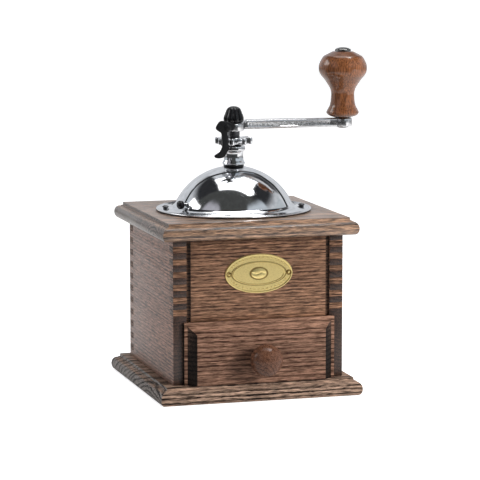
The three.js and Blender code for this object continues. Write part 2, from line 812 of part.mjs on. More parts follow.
function doorRetainingNut() {
  const nut = turned([
    [0, retainerLow], [retainerRadius, retainerLow], [retainerRadius, retainerTop], [0, retainerTop],
  ], retainerFlats);
  return cut(nut, rod(spigotRadius + glue, retainerLow - overrun, retainerTop + overrun));
}

// Lower bearing
const bridgeTop = housingBottom - glue;
const bridgeLow = bridgeTop - bridgeThickness;
const bridgeScrewOut = housingMouth + housingWall / 2;
const bridgeScrewPlaces = [-bridgeScrewOut, bridgeScrewOut];

// Shaft
const springSeat = deck + springCollarRise;

function crankShaft() {
  const shaftFoot = bridgeLow - shaftEnd;
  const body = turned([
    [0, shaftFoot], [shaftRadius, shaftFoot], [shaftRadius, springSeat - springCollarThickness],
    [springCollarRadius, springSeat - springCollarThickness], [springCollarRadius, springSeat],
    [shaftRadius, springSeat], [shaftRadius, shoulder], [0, shoulder],
  ]);
  const half = squareWidth / 2;
  const end = block([-half, -half, shoulder - overrun], [half, half, hubTop]);
  return join(body, end, rod(studRadius, hubTop - overrun, hubTop + studLength, smallSides));
}

class Coil extends THREE.Curve {
  getPoint(t, target = new THREE.Vector3()) {
    const angle = 2 * Math.PI * springTurns * t;
    const low = springSeat + springWireRadius + glue;
    const high = retainerLow - springWireRadius - glue;
    return target.set(springRadius * Math.cos(angle), springRadius * Math.sin(angle), low + t * (high - low));
  }
}

function shaftSpring() {
  const wire = new THREE.Shape();
  wire.absarc(0, 0, springWireRadius, 0, 2 * Math.PI);
  const steps = springTurns * springStepsPerTurn;
  const path = new Coil();
  const settings = { steps, curveSegments: 3, extrudePath: path, bevelEnabled: false };
  const geometry = new THREE.ExtrudeGeometry(wire, settings);
  const rise = (retainerLow - springSeat - 2 * springWireRadius) / springTurns;
  console.log(`least gap between the turns of the spring: ${(rise - 2 * springWireRadius).toFixed(2)} mm`);
  return solid(geometry);
}

function adjustingWheel() {
  const hub = rod(wheelHubRadius, wheelLow, wheelTop);
  const half = wheelToothWidth / 2;
  const straight = wheelRadius - half;
  const teeth = Array.from({ length: wheelTeeth }, (_, k) => {
    const tooth = new THREE.Shape();
    tooth.moveTo(wheelHubRadius / 2, -half);
    tooth.lineTo(straight, -half);
    tooth.absarc(straight, 0, half, -Math.PI / 2, Math.PI / 2, false);
    tooth.lineTo(wheelHubRadius / 2, half);
    const settings = { depth: wheelThickness, bevelEnabled: false, curveSegments: 3 };
    const geometry = new THREE.ExtrudeGeometry(tooth, settings);
    geometry.rotateZ(((k + 0.5) * 2 * Math.PI) / wheelTeeth);
    geometry.translate(0, 0, wheelLow);
    return solid(geometry);
  });
  return cut(join(hub, ...teeth), rod(shaftRadius + running, wheelLow - overrun, wheelTop + overrun));
}

// Crank
const armLow = hubLow + armStep;
const armTop = armLow + armThickness;
const catchPinZ = hubLow + catchPinRise;
const bossTop = armTop - bossDrop;

function crankArm() {
  const bar = upright(outline([
    [hubRadius / 2, armLow], [armStart, armLow], [crankReach, armLow], [crankReach, bossTop],
    [crankReach / 2, armTop], [armStart + 2 * armBevel, armTop], [armStart, armTop - armBevel],
    [armStart, hubTop], [hubRadius / 2, hubTop],
  ]), -armWidth / 2, armWidth / 2, armBevel);
  const hub = rod(hubRadius, hubLow, hubTop);
  const boss = rod(bossRadius, armLow, bossTop, roundSides, crankReach);
  const lug = block(
    [-lugEnd, -catchFace + 2 * glue, hubLow + armBevel],
    [lugWidth - lugEnd, 0, hubTop],
  );
  const half = squareWidth / 2 + glue;
  const squareHole = block([-half, -half, hubLow - overrun], [half, half, armTop + overrun]);
  const spindleHole = rod(spindleRadius + glue, armLow - overrun, armTop + overrun, smallSides, crankReach);
  const pinHole = turnedForward([
    [0, -catchPinBite - glue], [catchPinRadius + glue, -catchPinBite - glue],
    [catchPinRadius + glue, overrun], [0, overrun],
  ], smallSides, -catchPinOut, -catchFace + 2 * glue, catchPinZ);
  return cut(join(hub, bar, boss, lug), squareHole, spindleHole, pinHole);
}

const nutShares = [
  [0.72, 0], [0.9, 0.05], [1, 0.2], [0.98, 0.36], [0.88, 0.46], [0.79, 0.55], [0.72, 0.7], [0.5, 0.88],
  [0.2, 0.98],
];

function acornNut() {
  const low = hubTop + seatGap;
  const body = skin(nutShares.map(([u, v]) => (
    lobed(u * nutRadius, nutFlute * u, nutLobes, low + v * nutHeight))));
  return cut(body, rod(studRadius + glue, low - overrun, hubTop + studLength + glue, smallSides));
}

const catchShares = [
  [0.35, 1], [0.18, 0.95], [0.05, 0.81], [0.16, 0.73], [0.31, 0.67], [0.34, 0.56], [0.37, 0.35], [0.25, 0.18],
  [0, 0.085], [0.03, 0.017], [0.25, 0], [0.46, 0.038], [0.58, 0.144], [0.7, 0.25], [0.64, 0.36], [0.64, 0.56],
  [0.61, 0.66], [0.68, 0.72], [0.9, 0.74], [1, 0.85], [0.9, 0.92], [0.63, 0.96],
];

function catchLever() {
  const points = shares(catchShares, catchReach, catchHeight, catchLeft, hubLow - catchDrop);
  const front = -catchFace - catchThickness;
  const plate = upright(outline(points), front, -catchFace);
  const noseBack = catchNoseDepth - catchFace;
  const noseEnd = -reachAt(wheelRadius + catchNoseGap, noseBack);
  const nose = block([noseEnd - catchNoseWidth, front + glue, wheelLow], [noseEnd, noseBack, wheelTop]);
  return cut(join(plate, nose), turnedForward([
    [0, -overrun], [catchPinRadius + hole, -overrun],
    [catchPinRadius + hole, catchThickness + overrun], [0, catchThickness + overrun],
  ], smallSides, -catchPinOut, -catchFace, catchPinZ));
}

function catchPin() {
  const seat = catchThickness + glue;
  const length = seat + catchPinBite - 2 * glue;
  const points = fastener(catchPinRadius, length, catchPinHeadRadius, catchPinHeadHeight, seat, -1);
  return turnedForward(points, smallSides, -catchPinOut, -catchFace, catchPinZ);
}

// Crank knob, from the foot up: share of the radius, share of the height
const knobShares = [
  [0.33, 0], [0.58, 0.03], [0.675, 0.074], [0.62, 0.126], [0.545, 0.178], [0.505, 0.24], [0.483, 0.31],
  [0.48, 0.37], [0.53, 0.44], [0.64, 0.508], [0.755, 0.57], [0.91, 0.64], [0.98, 0.693], [1, 0.762],
  [0.965, 0.83], [0.825, 0.92], [0.68, 0.955], [0.44, 1],
];
const knobLow = bossTop + knobGap;
const knobTop = knobLow + knobHeight;

function crankKnob() {
  const bore = spindleRadius + hole;
  const skinPoints = shares(knobShares, knobRadius, knobHeight, 0, knobLow);
  return turned([[bore, knobLow], ...skinPoints, [bore, knobTop], [bore, knobLow]], roundSides, crankReach);
}

function knobSpindle() {
  const foot = armLow - glue;
  const seat = knobTop + knobGap;
  return turned([
    ...headShares.map(([u, v]) => [u * spindleFootRadius, foot - v * spindleFootHeight]),
    [spindleRadius, foot], [spindleRadius, seat],
    ...shares(spindleHeadShares, spindleHeadRadius, spindleHeadHeight, 0, seat),
  ], roundSides, crankReach);
}

// Bowl, housing and burrs
function hopperBowl() {
  const rimLow = deck - bowlSeat + glue;
  const rimTop = rimLow + bowlSheet;
  const bottom = housingWaist + bowlEnd;
  const wallTop = bowlHoleRadius - 2 * hole;
  const bowlThroat = housingThroat - bowlClearance - bowlSheet;
  return turned([
    [bowlThroat, bottom], [bowlThroat + bowlSheet, bottom], [wallTop, rimLow], [bowlRimRadius, rimLow],
    [bowlRimRadius, rimTop], [wallTop - bowlSheet, rimTop], [bowlThroat, bottom],
  ], domeSides);
}

function burrHousing() {
  const top = bodyTop - glue;
  const flangeLow = top - housingFlangeThickness;
  const body = turned([
    [housingMouth, housingBottom], [housingWaistRadius, housingBottom], [housingWaistRadius, housingWaist],
    [bowlHoleRadius + housingShoulder, flangeLow], [housingFlangeRadius, flangeLow], [housingFlangeRadius, top],
    [bowlHoleRadius, top], [housingThroat, housingWaist + housingNeck], [housingThroat, housingLedge],
    [housingMouth, housingLedge], [housingMouth, housingBottom],
  ]);
  return cut(
    body,
    ...housingScrewPlaces.map(([x, y]) => (
      rod(housingScrewRadius + hole, flangeLow - overrun, top + overrun, smallSides, x, y))),
    ...bridgeScrewPlaces.map((x) => (
      rod(bridgeScrewRadius + glue, housingBottom - overrun, housingBottom + bridgeScrewLength, smallSides, x))),
  );
}

function burrCone(grow, low, high, depth) {
  const levels = 3;
  const slope = -burrTaper / burrHeight;
  return skin(Array.from({ length: levels + 1 }, (_, k) => {
    const z = low + ((high - low) * k) / levels;
    const radius = innerBurrRadius + slope * (z - burrLow) + grow;
    const turn = (burrTwist * rad * (z - burrLow)) / burrHeight;
    return lobed(radius, depth, burrTeeth, z, turn);
  }));
}

function innerBurr() {
  const bore = rod(shaftRadius + glue, burrLow - overrun, burrTop + overrun);
  return cut(burrCone(0, burrLow, burrTop, burrToothDepth), bore);
}

function outerBurr() {
  const body = rod(housingMouth - burrFit, burrLow, burrTop);
  return cut(body, burrCone(burrGap + burrToothDepth, burrLow - overrun, burrTop + overrun, burrToothDepth));
}

function burrNut() {
  const high = burrLow - glue;
  const low = high - burrNutHeight;
  const nut = turned([[0, low], [burrNutRadius, low], [burrNutRadius, high], [0, high]], burrNutFlats);
  return cut(nut, rod(shaftRadius + glue, low - overrun, high + overrun));
}

function bearingBridge() {
  const half = bridgeWidth / 2;
  const bar = block([-housingWaistRadius, -half, bridgeLow], [housingWaistRadius, half, bridgeTop]);
  const hub = rod(bridgeHubRadius, bridgeLow, bridgeTop);
  const bore = rod(shaftRadius + running, bridgeLow - overrun, bridgeTop + overrun);
  const screws = bridgeScrewPlaces.map((x) => (
    rod(bridgeScrewRadius + hole, bridgeLow - overrun, bridgeTop + overrun, smallSides, x)));
  return cut(join(bar, hub), bore, ...screws);
}

// Assembly: case
add('base_board', baseBoard(), endWood);
caseScrewPlaces.forEach((place, k) => add(`base_screw_${k + 1}`, caseScrew(place), steel));
add('left_side_board', sideBoard(-1), wood);
add('right_side_board', sideBoard(1), wood);
add('front_board', frontBoard(), wood);
add('back_board', jointedBoard(innerHalf, bodyHalf, baseThickness, fingerRows), wood);
add('top_board', topBoard(), endWood);
add('name_plate', namePlate(), brass);
add('plate_pin_left', platePin(platePinPlaces[0]), brass);
add('plate_pin_right', platePin(platePinPlaces[1]), brass);

// Assembly: grinding works
add('hopper_bowl', hopperBowl(), steel);
add('burr_housing', burrHousing(), iron);
housingScrewPlaces.forEach(([x, y], k) => add(
  `housing_screw_${k + 1}`,
  screw(housingScrewRadius, housingScrewLength + housingFlangeThickness - glue, housingScrewHeadRadius,
    housingScrewHeadHeight, bodyTop - 2 * glue - housingFlangeThickness, true, x, y),
  steel,
));
add('outer_burr', outerBurr(), iron);
add('inner_burr', innerBurr(), iron);
add('burr_nut', burrNut(), steel);
add('bearing_bridge', bearingBridge(), iron);
bridgeScrewPlaces.forEach((x, k) => add(
  `bridge_screw_${['left', 'right'][k]}`,
  screw(bridgeScrewRadius, bridgeScrewLength + bridgeThickness - 2 * glue, bridgeScrewHeadRadius,
    bridgeScrewHeadHeight, bridgeLow - glue, true, x, 0),
  steel,
));

// Assembly: dome
add('hopper_hood', hopperHood(), chrome);
hoodScrewPlaces.forEach(([x, y], k) => add(
  `hood_screw_${['left', 'right'][k]}`,
  screw(hoodScrewRadius, hoodScrewBite + hoodScrewSeat - deck - glue, hoodScrewHeadRadius, hoodScrewHeadHeight,
    hoodScrewSeat, false, x, y),
  chrome,
));
add('dome_door', domeDoor(), chrome);
add('door_knob', doorKnob(), black);
add('neck_post', neckPost(), chrome);
add('door_retaining_nut', doorRetainingNut(), steel);

// Assembly: shaft and crank
add('crank_shaft', crankShaft(), iron);
add('shaft_spring', shaftSpring(), steel);
add('thrust_washer', ring(washerRadius, shaftRadius + running, washerLow, washerLow + washerThickness), steel);
add('adjusting_wheel', adjustingWheel(), chrome);
add('crank_arm', crankArm(), chrome);
add('acorn_nut', acornNut(), black);
add('catch_lever', catchLever(), black);
add('catch_pin', catchPin(), black);
add('knob_spindle', knobSpindle(), steel);
add('crank_knob', crankKnob(), varnished);

// Assembly: drawer
add('drawer_front', drawerFront(), wood);
add('drawer_left_side', drawerSide(-1), wood);
add('drawer_right_side', drawerSide(1), wood);
add('drawer_back', drawerBack(), wood);
add('drawer_bottom', drawerBottomPanel(0), wood);
add('drawer_knob', drawerKnob(), varnished);
add('drawer_knob_screw', drawerKnobScrew(), steel);

export default model;
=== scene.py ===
"""The looks of a hand-cranked box coffee grinder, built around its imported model. Lengths are in millimetres."""

import json
import math

import bmesh
import bpy
from mathutils import Euler, Matrix, Vector

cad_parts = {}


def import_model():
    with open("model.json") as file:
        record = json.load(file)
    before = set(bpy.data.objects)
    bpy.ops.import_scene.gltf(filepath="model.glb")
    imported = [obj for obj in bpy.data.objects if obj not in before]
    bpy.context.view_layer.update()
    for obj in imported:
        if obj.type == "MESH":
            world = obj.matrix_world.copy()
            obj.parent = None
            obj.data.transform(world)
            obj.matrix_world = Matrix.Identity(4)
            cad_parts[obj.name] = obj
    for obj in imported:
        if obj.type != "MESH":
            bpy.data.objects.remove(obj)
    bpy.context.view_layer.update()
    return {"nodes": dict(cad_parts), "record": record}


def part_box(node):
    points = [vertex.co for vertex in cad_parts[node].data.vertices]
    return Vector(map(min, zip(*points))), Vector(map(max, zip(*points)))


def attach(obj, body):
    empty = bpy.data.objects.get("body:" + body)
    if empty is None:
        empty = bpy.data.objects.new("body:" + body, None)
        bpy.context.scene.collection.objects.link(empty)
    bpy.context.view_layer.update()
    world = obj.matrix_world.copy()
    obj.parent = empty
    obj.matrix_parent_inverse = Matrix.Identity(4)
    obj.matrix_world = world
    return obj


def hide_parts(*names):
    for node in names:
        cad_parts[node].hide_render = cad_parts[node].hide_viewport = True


MM = 0.001
FINE_SIDES = 128          # of the large round pieces
SMALL_SIDES = 48          # of the small ones
SPINDLE_SIDES = 64
DOME_SIDES = 192
DOME_STEPS = 44           # between the foot of the dome and its hole
SMOOTH_STEPS = 6          # between two points of a smooth line
OVERRUN = 1               # of a cutting shape past the piece that it cuts

# An edge that bends by more degrees than this is a corner: it stays sharp in the shading, or soften rounds it
CORNER = 32
DOME_CORNER = 38
TURNED_CORNER = 40
MOULDED_CORNER = 50
RELIEF_CORNER = 60

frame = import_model()
nodes = frame["nodes"]
body_of = {
    node: body
    for body, members in frame["record"]["behaviour"]["bodies"].items()
    for node in members
}


def limits(node):
    low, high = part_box(node)
    return Vector(low) / MM, Vector(high) / MM


# Places that several pieces share, read from the frame
hood_low, hood_high = limits("hopper_hood")
neck_low, neck_high = limits("neck_post")
wheel_low, wheel_high = limits("adjusting_wheel")
arm_low, arm_high = limits("crank_arm")
nut_low, nut_high = limits("acorn_nut")
lever_low, lever_high = limits("catch_lever")
knob_low, knob_high = limits("crank_knob")
plate_low, plate_high = limits("name_plate")

DECK = limits("top_board")[1].z
CRANK_REACH = (knob_low.x + knob_high.x) / 2
PLATE_WIDTH = plate_high.x - plate_low.x
PLATE_HEIGHT = plate_high.z - plate_low.z
PLATE_MIDDLE = (plate_low.z + plate_high.z) / 2

# Sizes that the frame doesn't give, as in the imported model
DOME_RADIUS = 41
DOME_CENTRE = DECK - 13
DOME_SHEET = 0.4
DOOR_RADIUS = 40.45
DOOR_SHEET = 0.8
SPIGOT_HOLE = 5.7
SPOOL_HEIGHT = 12.8
SHAFT_RADIUS = 4
SHAFT_BORE = SHAFT_RADIUS + 0.1
ARM_HALF = 3.5
ARM_RECESS = 0.3
PLATE_PIN_INSET = 2.4
INNER_OVAL = (33.4, 14.2)     # width and height of the plate's inner line
BEAN_HALF = (5.2, 3.4)        # half of the bean's width and height


# Mesh helpers

def polar(radius, degrees):
    angle = math.radians(degrees)
    return radius * math.cos(angle), radius * math.sin(angle)


def sector(radius, first, last, steps):
    """Points of a circle about the origin, between two angles in degrees"""
    return [polar(radius, first + (last - first) * k / steps) for k in range(steps + 1)]


def arc(radius, centre, first, last):
    """Points (r, z) of a circle about (0, centre), between two elevations in degrees"""
    return [(r, centre + z) for r, z in sector(radius, first, last, DOME_STEPS)]


def smooth(points, closed=False, steps=SMOOTH_STEPS):
    """A soft line through the points, of any number of coordinates"""
    points = [Vector(p) for p in points]
    count = len(points)

    def pick(k):
        return points[k % count if closed else max(0, min(count - 1, k))]

    line = []
    for k in range(count if closed else count - 1):
        a, b, c, d = (pick(k + shift) for shift in (-1, 0, 1, 2))
        slope, bend, twist = c - a, 2 * a - 5 * b + 4 * c - d, 3 * b - a - 3 * c + d
        for step in range(steps):
            t = step / steps
            line.append(0.5 * (2 * b + slope * t + bend * t * t + twist * t ** 3))
    if not closed:
        line.append(points[-1])
    return [tuple(p) for p in line]


def shade(piece, sharp=CORNER):
    mesh = piece.data
    mesh.polygons.foreach_set("use_smooth", [True] * len(mesh.polygons))
    mesh.set_sharp_from_angle(angle=math.radians(sharp))
    mesh.update()


def new_piece(name, points, faces, sharp=CORNER):
    mesh = bpy.data.meshes.new(name)
    mesh.from_pydata([Vector(p) * MM for p in points], [], faces)
    work = bmesh.new()
    work.from_mesh(mesh)
    bmesh.ops.remove_doubles(work, verts=work.verts, dist=1e-7)
    bmesh.ops.recalc_face_normals(work, faces=work.faces)
    work.to_mesh(mesh)
    work.free()
    piece = bpy.data.objects.new(name, mesh)
    bpy.context.scene.collection.objects.link(piece)
    shade(piece, sharp)
    return piece


def bands(rows):
    """The faces between neighbouring rows of point numbers, where each row closes on itself"""
    faces = []
    for row, above in zip(rows, rows[1:]):
        for k in range(len(row)):
            after = (k + 1) % len(row)
            corners = list(dict.fromkeys([row[k], row[after], above[after], above[k]]))
            if len(corners) > 2:
                faces.append(corners)
    return faces


def lathe(name, profile, centre=(0, 0), sides=FINE_SIDES, ripple=None, sharp=CORNER):
    """Turns a closed outline of (r, z) about a vertical axis. ripple(angle, r, z) may change r"""
    points = []
    rows = []
    for r, z in profile:
        if abs(r) < 1e-6:
            rows.append([len(points)] * sides)
            points.append((*centre, z))
            continue
        rows.append(range(len(points), len(points) + sides))
        for k in range(sides):
            angle = 2 * math.pi * k / sides
            reach = ripple(angle, r, z) if ripple else r
            points.append((centre[0] + reach * math.cos(angle), centre[1] + reach * math.sin(angle), z))
    return new_piece(name, points, bands([*rows, rows[0]]), sharp)


def loft(name, rings):
    """A closed skin over rings of the same number of points, with flat ends"""
    sides = len(rings[0])
    points = [p for ring in rings for p in ring]
    rows = [range(start, start + sides) for start in range(0, len(points), sides)]
    return new_piece(name, points, [tuple(reversed(rows[0])), tuple(rows[-1]), *bands(rows)])


def prism(name, outline, low, high):
    return loft(name, [[(x, y, z) for x, y in outline] for z in (low, high)])


def upright(name, outline, front, rear):
    """A plate that stands across Y, from its outline in (x, z)"""
    return loft(name, [[(x, y, z) for x, z in outline] for y in (front, rear)])


def cuboid(name, low, high):
    corners = [(low[0], low[1]), (high[0], low[1]), (high[0], high[1]), (low[0], high[1])]
    return prism(name, corners, low[2], high[2])


def cylinder(name, radius, low, high, centre=(0, 0), sides=SMALL_SIDES):
    outline = [(centre[0] + x, centre[1] + y) for x, y in (polar(radius, 360 * k / sides) for k in range(sides))]
    return prism(name, outline, low, high)


def turn(piece, rotation=(0, 0, 0), place=(0, 0, 0)):
    """Turns a piece's mesh about the origin, in degrees, and then moves it"""
    rotated = Euler([math.radians(angle) for angle in rotation]).to_matrix().to_4x4()
    piece.data.transform(Matrix.Translation(Vector(place) * MM) @ rotated)
    return piece


def bake(piece):
    """Gives the piece the mesh that its modifiers make"""
    graph = bpy.context.evaluated_depsgraph_get()
    mesh = bpy.data.meshes.new_from_object(piece.evaluated_get(graph))
    old = piece.data
    piece.modifiers.clear()
    piece.data = mesh
    bpy.data.meshes.remove(old)
    shade(piece)
    return piece


def combine(piece, operation, *others):
    for other in others:
        modifier = piece.modifiers.new("combine", "BOOLEAN")
        modifier.operation = operation
        modifier.solver = "EXACT"
        modifier.object = other
        bake(piece)
        bpy.data.meshes.remove(other.data)
    return piece


def cut(piece, *others):
    return combine(piece, "DIFFERENCE", *others)


def join(piece, *others):
    return combine(piece, "UNION", *others)


def soften(piece, width, segments=2, angle=CORNER):
    """Rounds the edges that bend by more than the angle, in degrees"""
    modifier = piece.modifiers.new("soften", "BEVEL")
    modifier.width = width * MM
    modifier.segments = segments
    modifier.limit_method = "ANGLE"
    modifier.angle_limit = math.radians(angle)
    modifier.harden_normals = False
    return bake(piece)


def detail(piece, node, slot, material):
    """Gives the piece its material and lets it move with the node's body"""
    piece.data.materials.clear()
    piece.data.materials.append(material)
    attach(piece, body_of[node])
    return piece


def stand_for(piece, node, slot, material):
    """Shows the piece in place of the node"""
    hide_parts(node)
    return detail(piece, node, slot, material)


def dressed(node, slot, material, width):
    """A copy of the node with its edges softened"""
    mesh = nodes[node].data.copy()
    work = bmesh.new()
    work.from_mesh(mesh)
    bmesh.ops.remove_doubles(work, verts=work.verts, dist=2e-6)
    bmesh.ops.dissolve_limit(work, angle_limit=math.radians(1), verts=work.verts, edges=work.edges)
    work.to_mesh(mesh)
    work.free()
    piece = bpy.data.objects.new(node + "_finished", mesh)
    bpy.context.scene.collection.objects.link(piece)
    soften(piece, width)
    return stand_for(piece, node, slot, material)


# Material helpers

class Shader:
    """The node tree of a material or a world, with short calls that return output sockets"""

    def __init__(self, owner):
        owner.use_nodes = True
        self.owner = owner
        self.tree = owner.node_tree
        self.tree.nodes.clear()

    def node(self, kind, inputs=(), **settings):
        node = self.tree.nodes.new(kind)
        for key, value in settings.items():
            setattr(node, key, value)
        for key, value in dict(inputs).items():
            if isinstance(value, bpy.types.NodeSocket):
                self.tree.links.new(value, node.inputs[key])
            else:
                node.inputs[key].default_value = value
        return node

    def maths(self, operation, a, b=0.0, clamp=False):
        return self.node("ShaderNodeMath", {0: a, 1: b}, operation=operation, use_clamp=clamp).outputs[0]

    def product(self, first, *others):
        for other in others:
            first = self.maths("MULTIPLY", first, other)
        return first

    def off(self, value, middle):
        """How far the value is from the middle"""
        return self.maths("ABSOLUTE", self.maths("SUBTRACT", value, middle))

    def vector(self, operation, a, b=(0, 0, 0)):
        node = self.node("ShaderNodeVectorMath", {0: a, 1: b}, operation=operation)
        return node.outputs["Value" if operation in ("DOT_PRODUCT", "LENGTH") else "Vector"]

    def place(self, output="Object"):
        return self.node("ShaderNodeTexCoord").outputs[output]

    def millimetres(self):
        return self.vector("MULTIPLY", self.place(), (1 / MM,) * 3)

    def noise(self, vector, scale, detail, roughness=0.5):
        values = {"Vector": vector, "Scale": scale, "Detail": detail, "Roughness": roughness}
        return self.node("ShaderNodeTexNoise", values, noise_dimensions="3D").outputs["Fac"]

    def waver(self, vector, scale, detail, reach):
        """Noise about zero"""
        return self.product(self.maths("SUBTRACT", self.noise(vector, scale, detail), 0.5), reach)

    def ranged(self, value, low, high, to_low=0.0, to_high=1.0):
        values = {"Value": value, "From Min": low, "From Max": high, "To Min": to_low, "To Max": to_high}
        return self.node("ShaderNodeMapRange", values, interpolation_type="SMOOTHSTEP").outputs["Result"]

    def cloud(self, vector, scale, detail=3):
        """Soft spots, mostly 0 or 1"""
        return self.ranged(self.noise(vector, scale, detail), 0.3, 0.7)

    def within(self, value, low, high, edge=0.05):
        return self.product(self.ranged(value, low - edge, low + edge), self.ranged(value, high + edge, high - edge))

    def ramp(self, value, stops):
        node = self.node("ShaderNodeValToRGB", {"Fac": value})
        elements = node.color_ramp.elements
        while len(elements) < len(stops):
            elements.new(0.5)
        for element, (position, level) in zip(elements, stops):
            element.position = position
            element.color = (level, level, level, 1)
        return node.outputs["Color"]

    def blend(self, factor, a, b, mode="MIX"):
        node = self.node("ShaderNodeMix", data_type="RGBA", blend_type=mode)
        for key, value in ((0, factor), (6, a), (7, b)):
            if isinstance(value, bpy.types.NodeSocket):
                self.tree.links.new(value, node.inputs[key])
            else:
                node.inputs[key].default_value = value if key == 0 else (*value, 1)
        return node.outputs[2]

    def bump(self, height, strength, distance):
        values = {"Height": height, "Strength": strength, "Distance": distance * MM}
        return self.node("ShaderNodeBump", values).outputs["Normal"]

    def surface(self, **inputs):
        values = {key.replace("_", " "): value for key, value in inputs.items()}
        for key, value in values.items():
            if isinstance(value, tuple) and len(value) == 3:
                values[key] = (*value, 1)
        shader = self.node("ShaderNodeBsdfPrincipled", values)
        self.node("ShaderNodeOutputMaterial", {"Surface": shader.outputs[0]})
        return self.owner


# Materials

AXES = {"X": Vector((1, 0, 0)), "Y": Vector((0, 1, 0)), "Z": Vector((0, 0, 1))}
# How dark the wood is through one year ring: share of the ring, share of the dark colour
YEAR_RING = [(0, 1), (0.12, 0.7), (0.27, 0.14), (0.4, 0.02), (0.48, 0.28), (0.55, 0.05), (0.78, 0.35), (0.92, 1)]
SAWN = (12.99, 43.76)         # turns the number of a year into a value that looks random
GROOVE_SHADE = 0.3            # tone of the painted shade in the recess beside the front panel


def wood(name, grain, pith, light, dark, *, ring=3.0, wave=2.2, ragged=0.3, flat=1.0, lines=0.9, pores=0.4,
         speckle=0.3, roughness=0.5, gloss=0.3, coat=0.0, polish=0.28, end_shade=0.4, end_from=0.5, end_to=0.75,
         end_grey=0.55, groove=None):
    """Solid wood: year rings about a pith with broken dark bands, pores, and darker, greyer end grain.

    The rings are ring apart, wavy and ragged, and flat stretches them along Y. lines, pores and speckle are the
    strength of the bands, the pores and the streaks. gloss, coat and polish are the specular level and the
    coat's weight and roughness. A face is end grain where its normal's share of the grain's axis goes from
    end_from to end_to. groove is (from, to, y): shade is painted into the recess between those distances from
    the middle, behind that y.
    """
    s = Shader(bpy.data.materials.new(name))
    axis = AXES[grain]
    across = Vector((1, 1, 1)) - axis
    place = s.millimetres()

    def along(share):
        """The place, drawn out along the grain"""
        return s.vector("MULTIPLY", place, tuple(across + axis * share))

    from_pith = s.vector("MULTIPLY", s.vector("SUBTRACT", place, tuple(pith)), tuple(across * Vector((1, flat, 1))))
    drawn = along(0.06)
    slow = s.waver(drawn, 0.04, 2, wave * 4)
    quick = s.waver(drawn, 0.35, 3, wave * 0.7)
    torn = s.waver(along(0.2), 1.0, 2, ring * ragged)
    warped = s.maths("ADD", s.vector("LENGTH", from_pith), s.maths("ADD", torn, s.maths("ADD", slow, quick)))
    years = s.maths("DIVIDE", warped, ring)
    band = s.ramp(s.maths("FRACT", years), YEAR_RING)
    sine = s.maths("SINE", s.product(s.maths("FLOOR", years), SAWN[0]))
    weight = s.ranged(s.maths("FRACT", s.product(sine, SAWN[1])), 0.0, 1.0, 0.55, 1.15)
    dashes = s.ranged(s.noise(along(0.08), 1.1, 2, 0.6), 0.36, 0.62)
    streak = s.maths("ADD", s.product(dashes, 0.45), 0.55)
    patch = s.ranged(s.noise(along(0.03), 0.13, 2), 0.3, 0.65, 0.65, 1)
    late = s.product(band, streak, patch, s.product(weight, lines))
    fibres = s.ranged(s.noise(along(0.09), 2.0, 2, 0.6), 0.45, 0.65)
    stain = s.maths("ADD", late, s.product(fibres, pores), clamp=True)
    drift = s.ranged(s.noise(drawn, 0.03, 2), 0.3, 0.7, 0.86, 1.12)
    fleck = s.ranged(s.noise(along(0.07), 1.7, 3, 0.7), 0.32, 0.68, 1 - speckle, 1 + speckle)
    facing = s.maths("ABSOLUTE", s.vector("DOT_PRODUCT", s.place("Normal"), tuple(axis)))
    end = s.ranged(facing, end_from, end_to)
    tone = s.product(drift, fleck, s.ranged(end, 0, 1, 1, end_shade))
    # Painted shade: the recess beside the front panel is darkened to stand for the shadow in it
    if groove:
        low, high, front = groove
        parts = s.node("ShaderNodeSeparateXYZ", {0: place}).outputs
        off_middle = s.off(s.maths("ABSOLUTE", parts["X"]), (low + high) / 2)
        beside = s.maths("LESS_THAN", off_middle, (high - low) / 2)
        sunk = s.product(beside, s.maths("GREATER_THAN", parts["Y"], front))
        tone = s.product(tone, s.ranged(sunk, 0, 1, 1, GROOVE_SHADE))
    colour = s.blend(1.0, s.blend(stain, light, dark), tone, "MULTIPLY")
    grey = s.node("ShaderNodeRGBToBW", {0: colour}).outputs[0]
    colour = s.blend(s.product(end, end_grey), colour, grey)
    rough = s.maths("ADD", s.product(stain, 0.12), roughness)
    return s.surface(Base_Color=colour, Roughness=rough, Specular_IOR_Level=gloss, Coat_Weight=coat,
                     Coat_Roughness=polish, Normal=s.bump(s.product(stain, -1), 0.4, 0.15))


def metal(name, colour, roughness, grain=0.02, scale=0.35, spread=0.03):
    """Smooth metal with faint unevenness and slightly duller, darker spots"""
    s = Shader(bpy.data.materials.new(name))
    place = s.millimetres()
    cloud = s.noise(place, scale, 3)
    fine = s.noise(place, scale * 14, 2)
    spots = s.ranged(cloud, 0.3, 0.7)
    tint = s.blend(spots, tuple(c * 0.9 for c in colour), colour)
    rough = s.ranged(cloud, 0.3, 0.7, roughness, roughness + spread)
    height = s.maths("ADD", cloud, s.product(fine, 0.15))
    return s.surface(Base_Color=tint, Metallic=1.0, Roughness=rough, Normal=s.bump(height, grain, 1))


def enamel(name, colour, roughness, gloss):
    """Painted or blackened metal, or a moulded plastic"""
    s = Shader(bpy.data.materials.new(name))
    place = s.millimetres()
    cloud = s.noise(place, 0.5, 3)
    tint = s.blend(s.ranged(cloud, 0.3, 0.7), tuple(c * 0.75 for c in colour), colour)
    rough = s.ranged(cloud, 0.3, 0.7, roughness, roughness + 0.08)
    normal = s.bump(s.noise(place, 6, 2), 0.05, 0.2)
    return s.surface(Base_Color=tint, Roughness=rough, Specular_IOR_Level=gloss, Normal=normal)


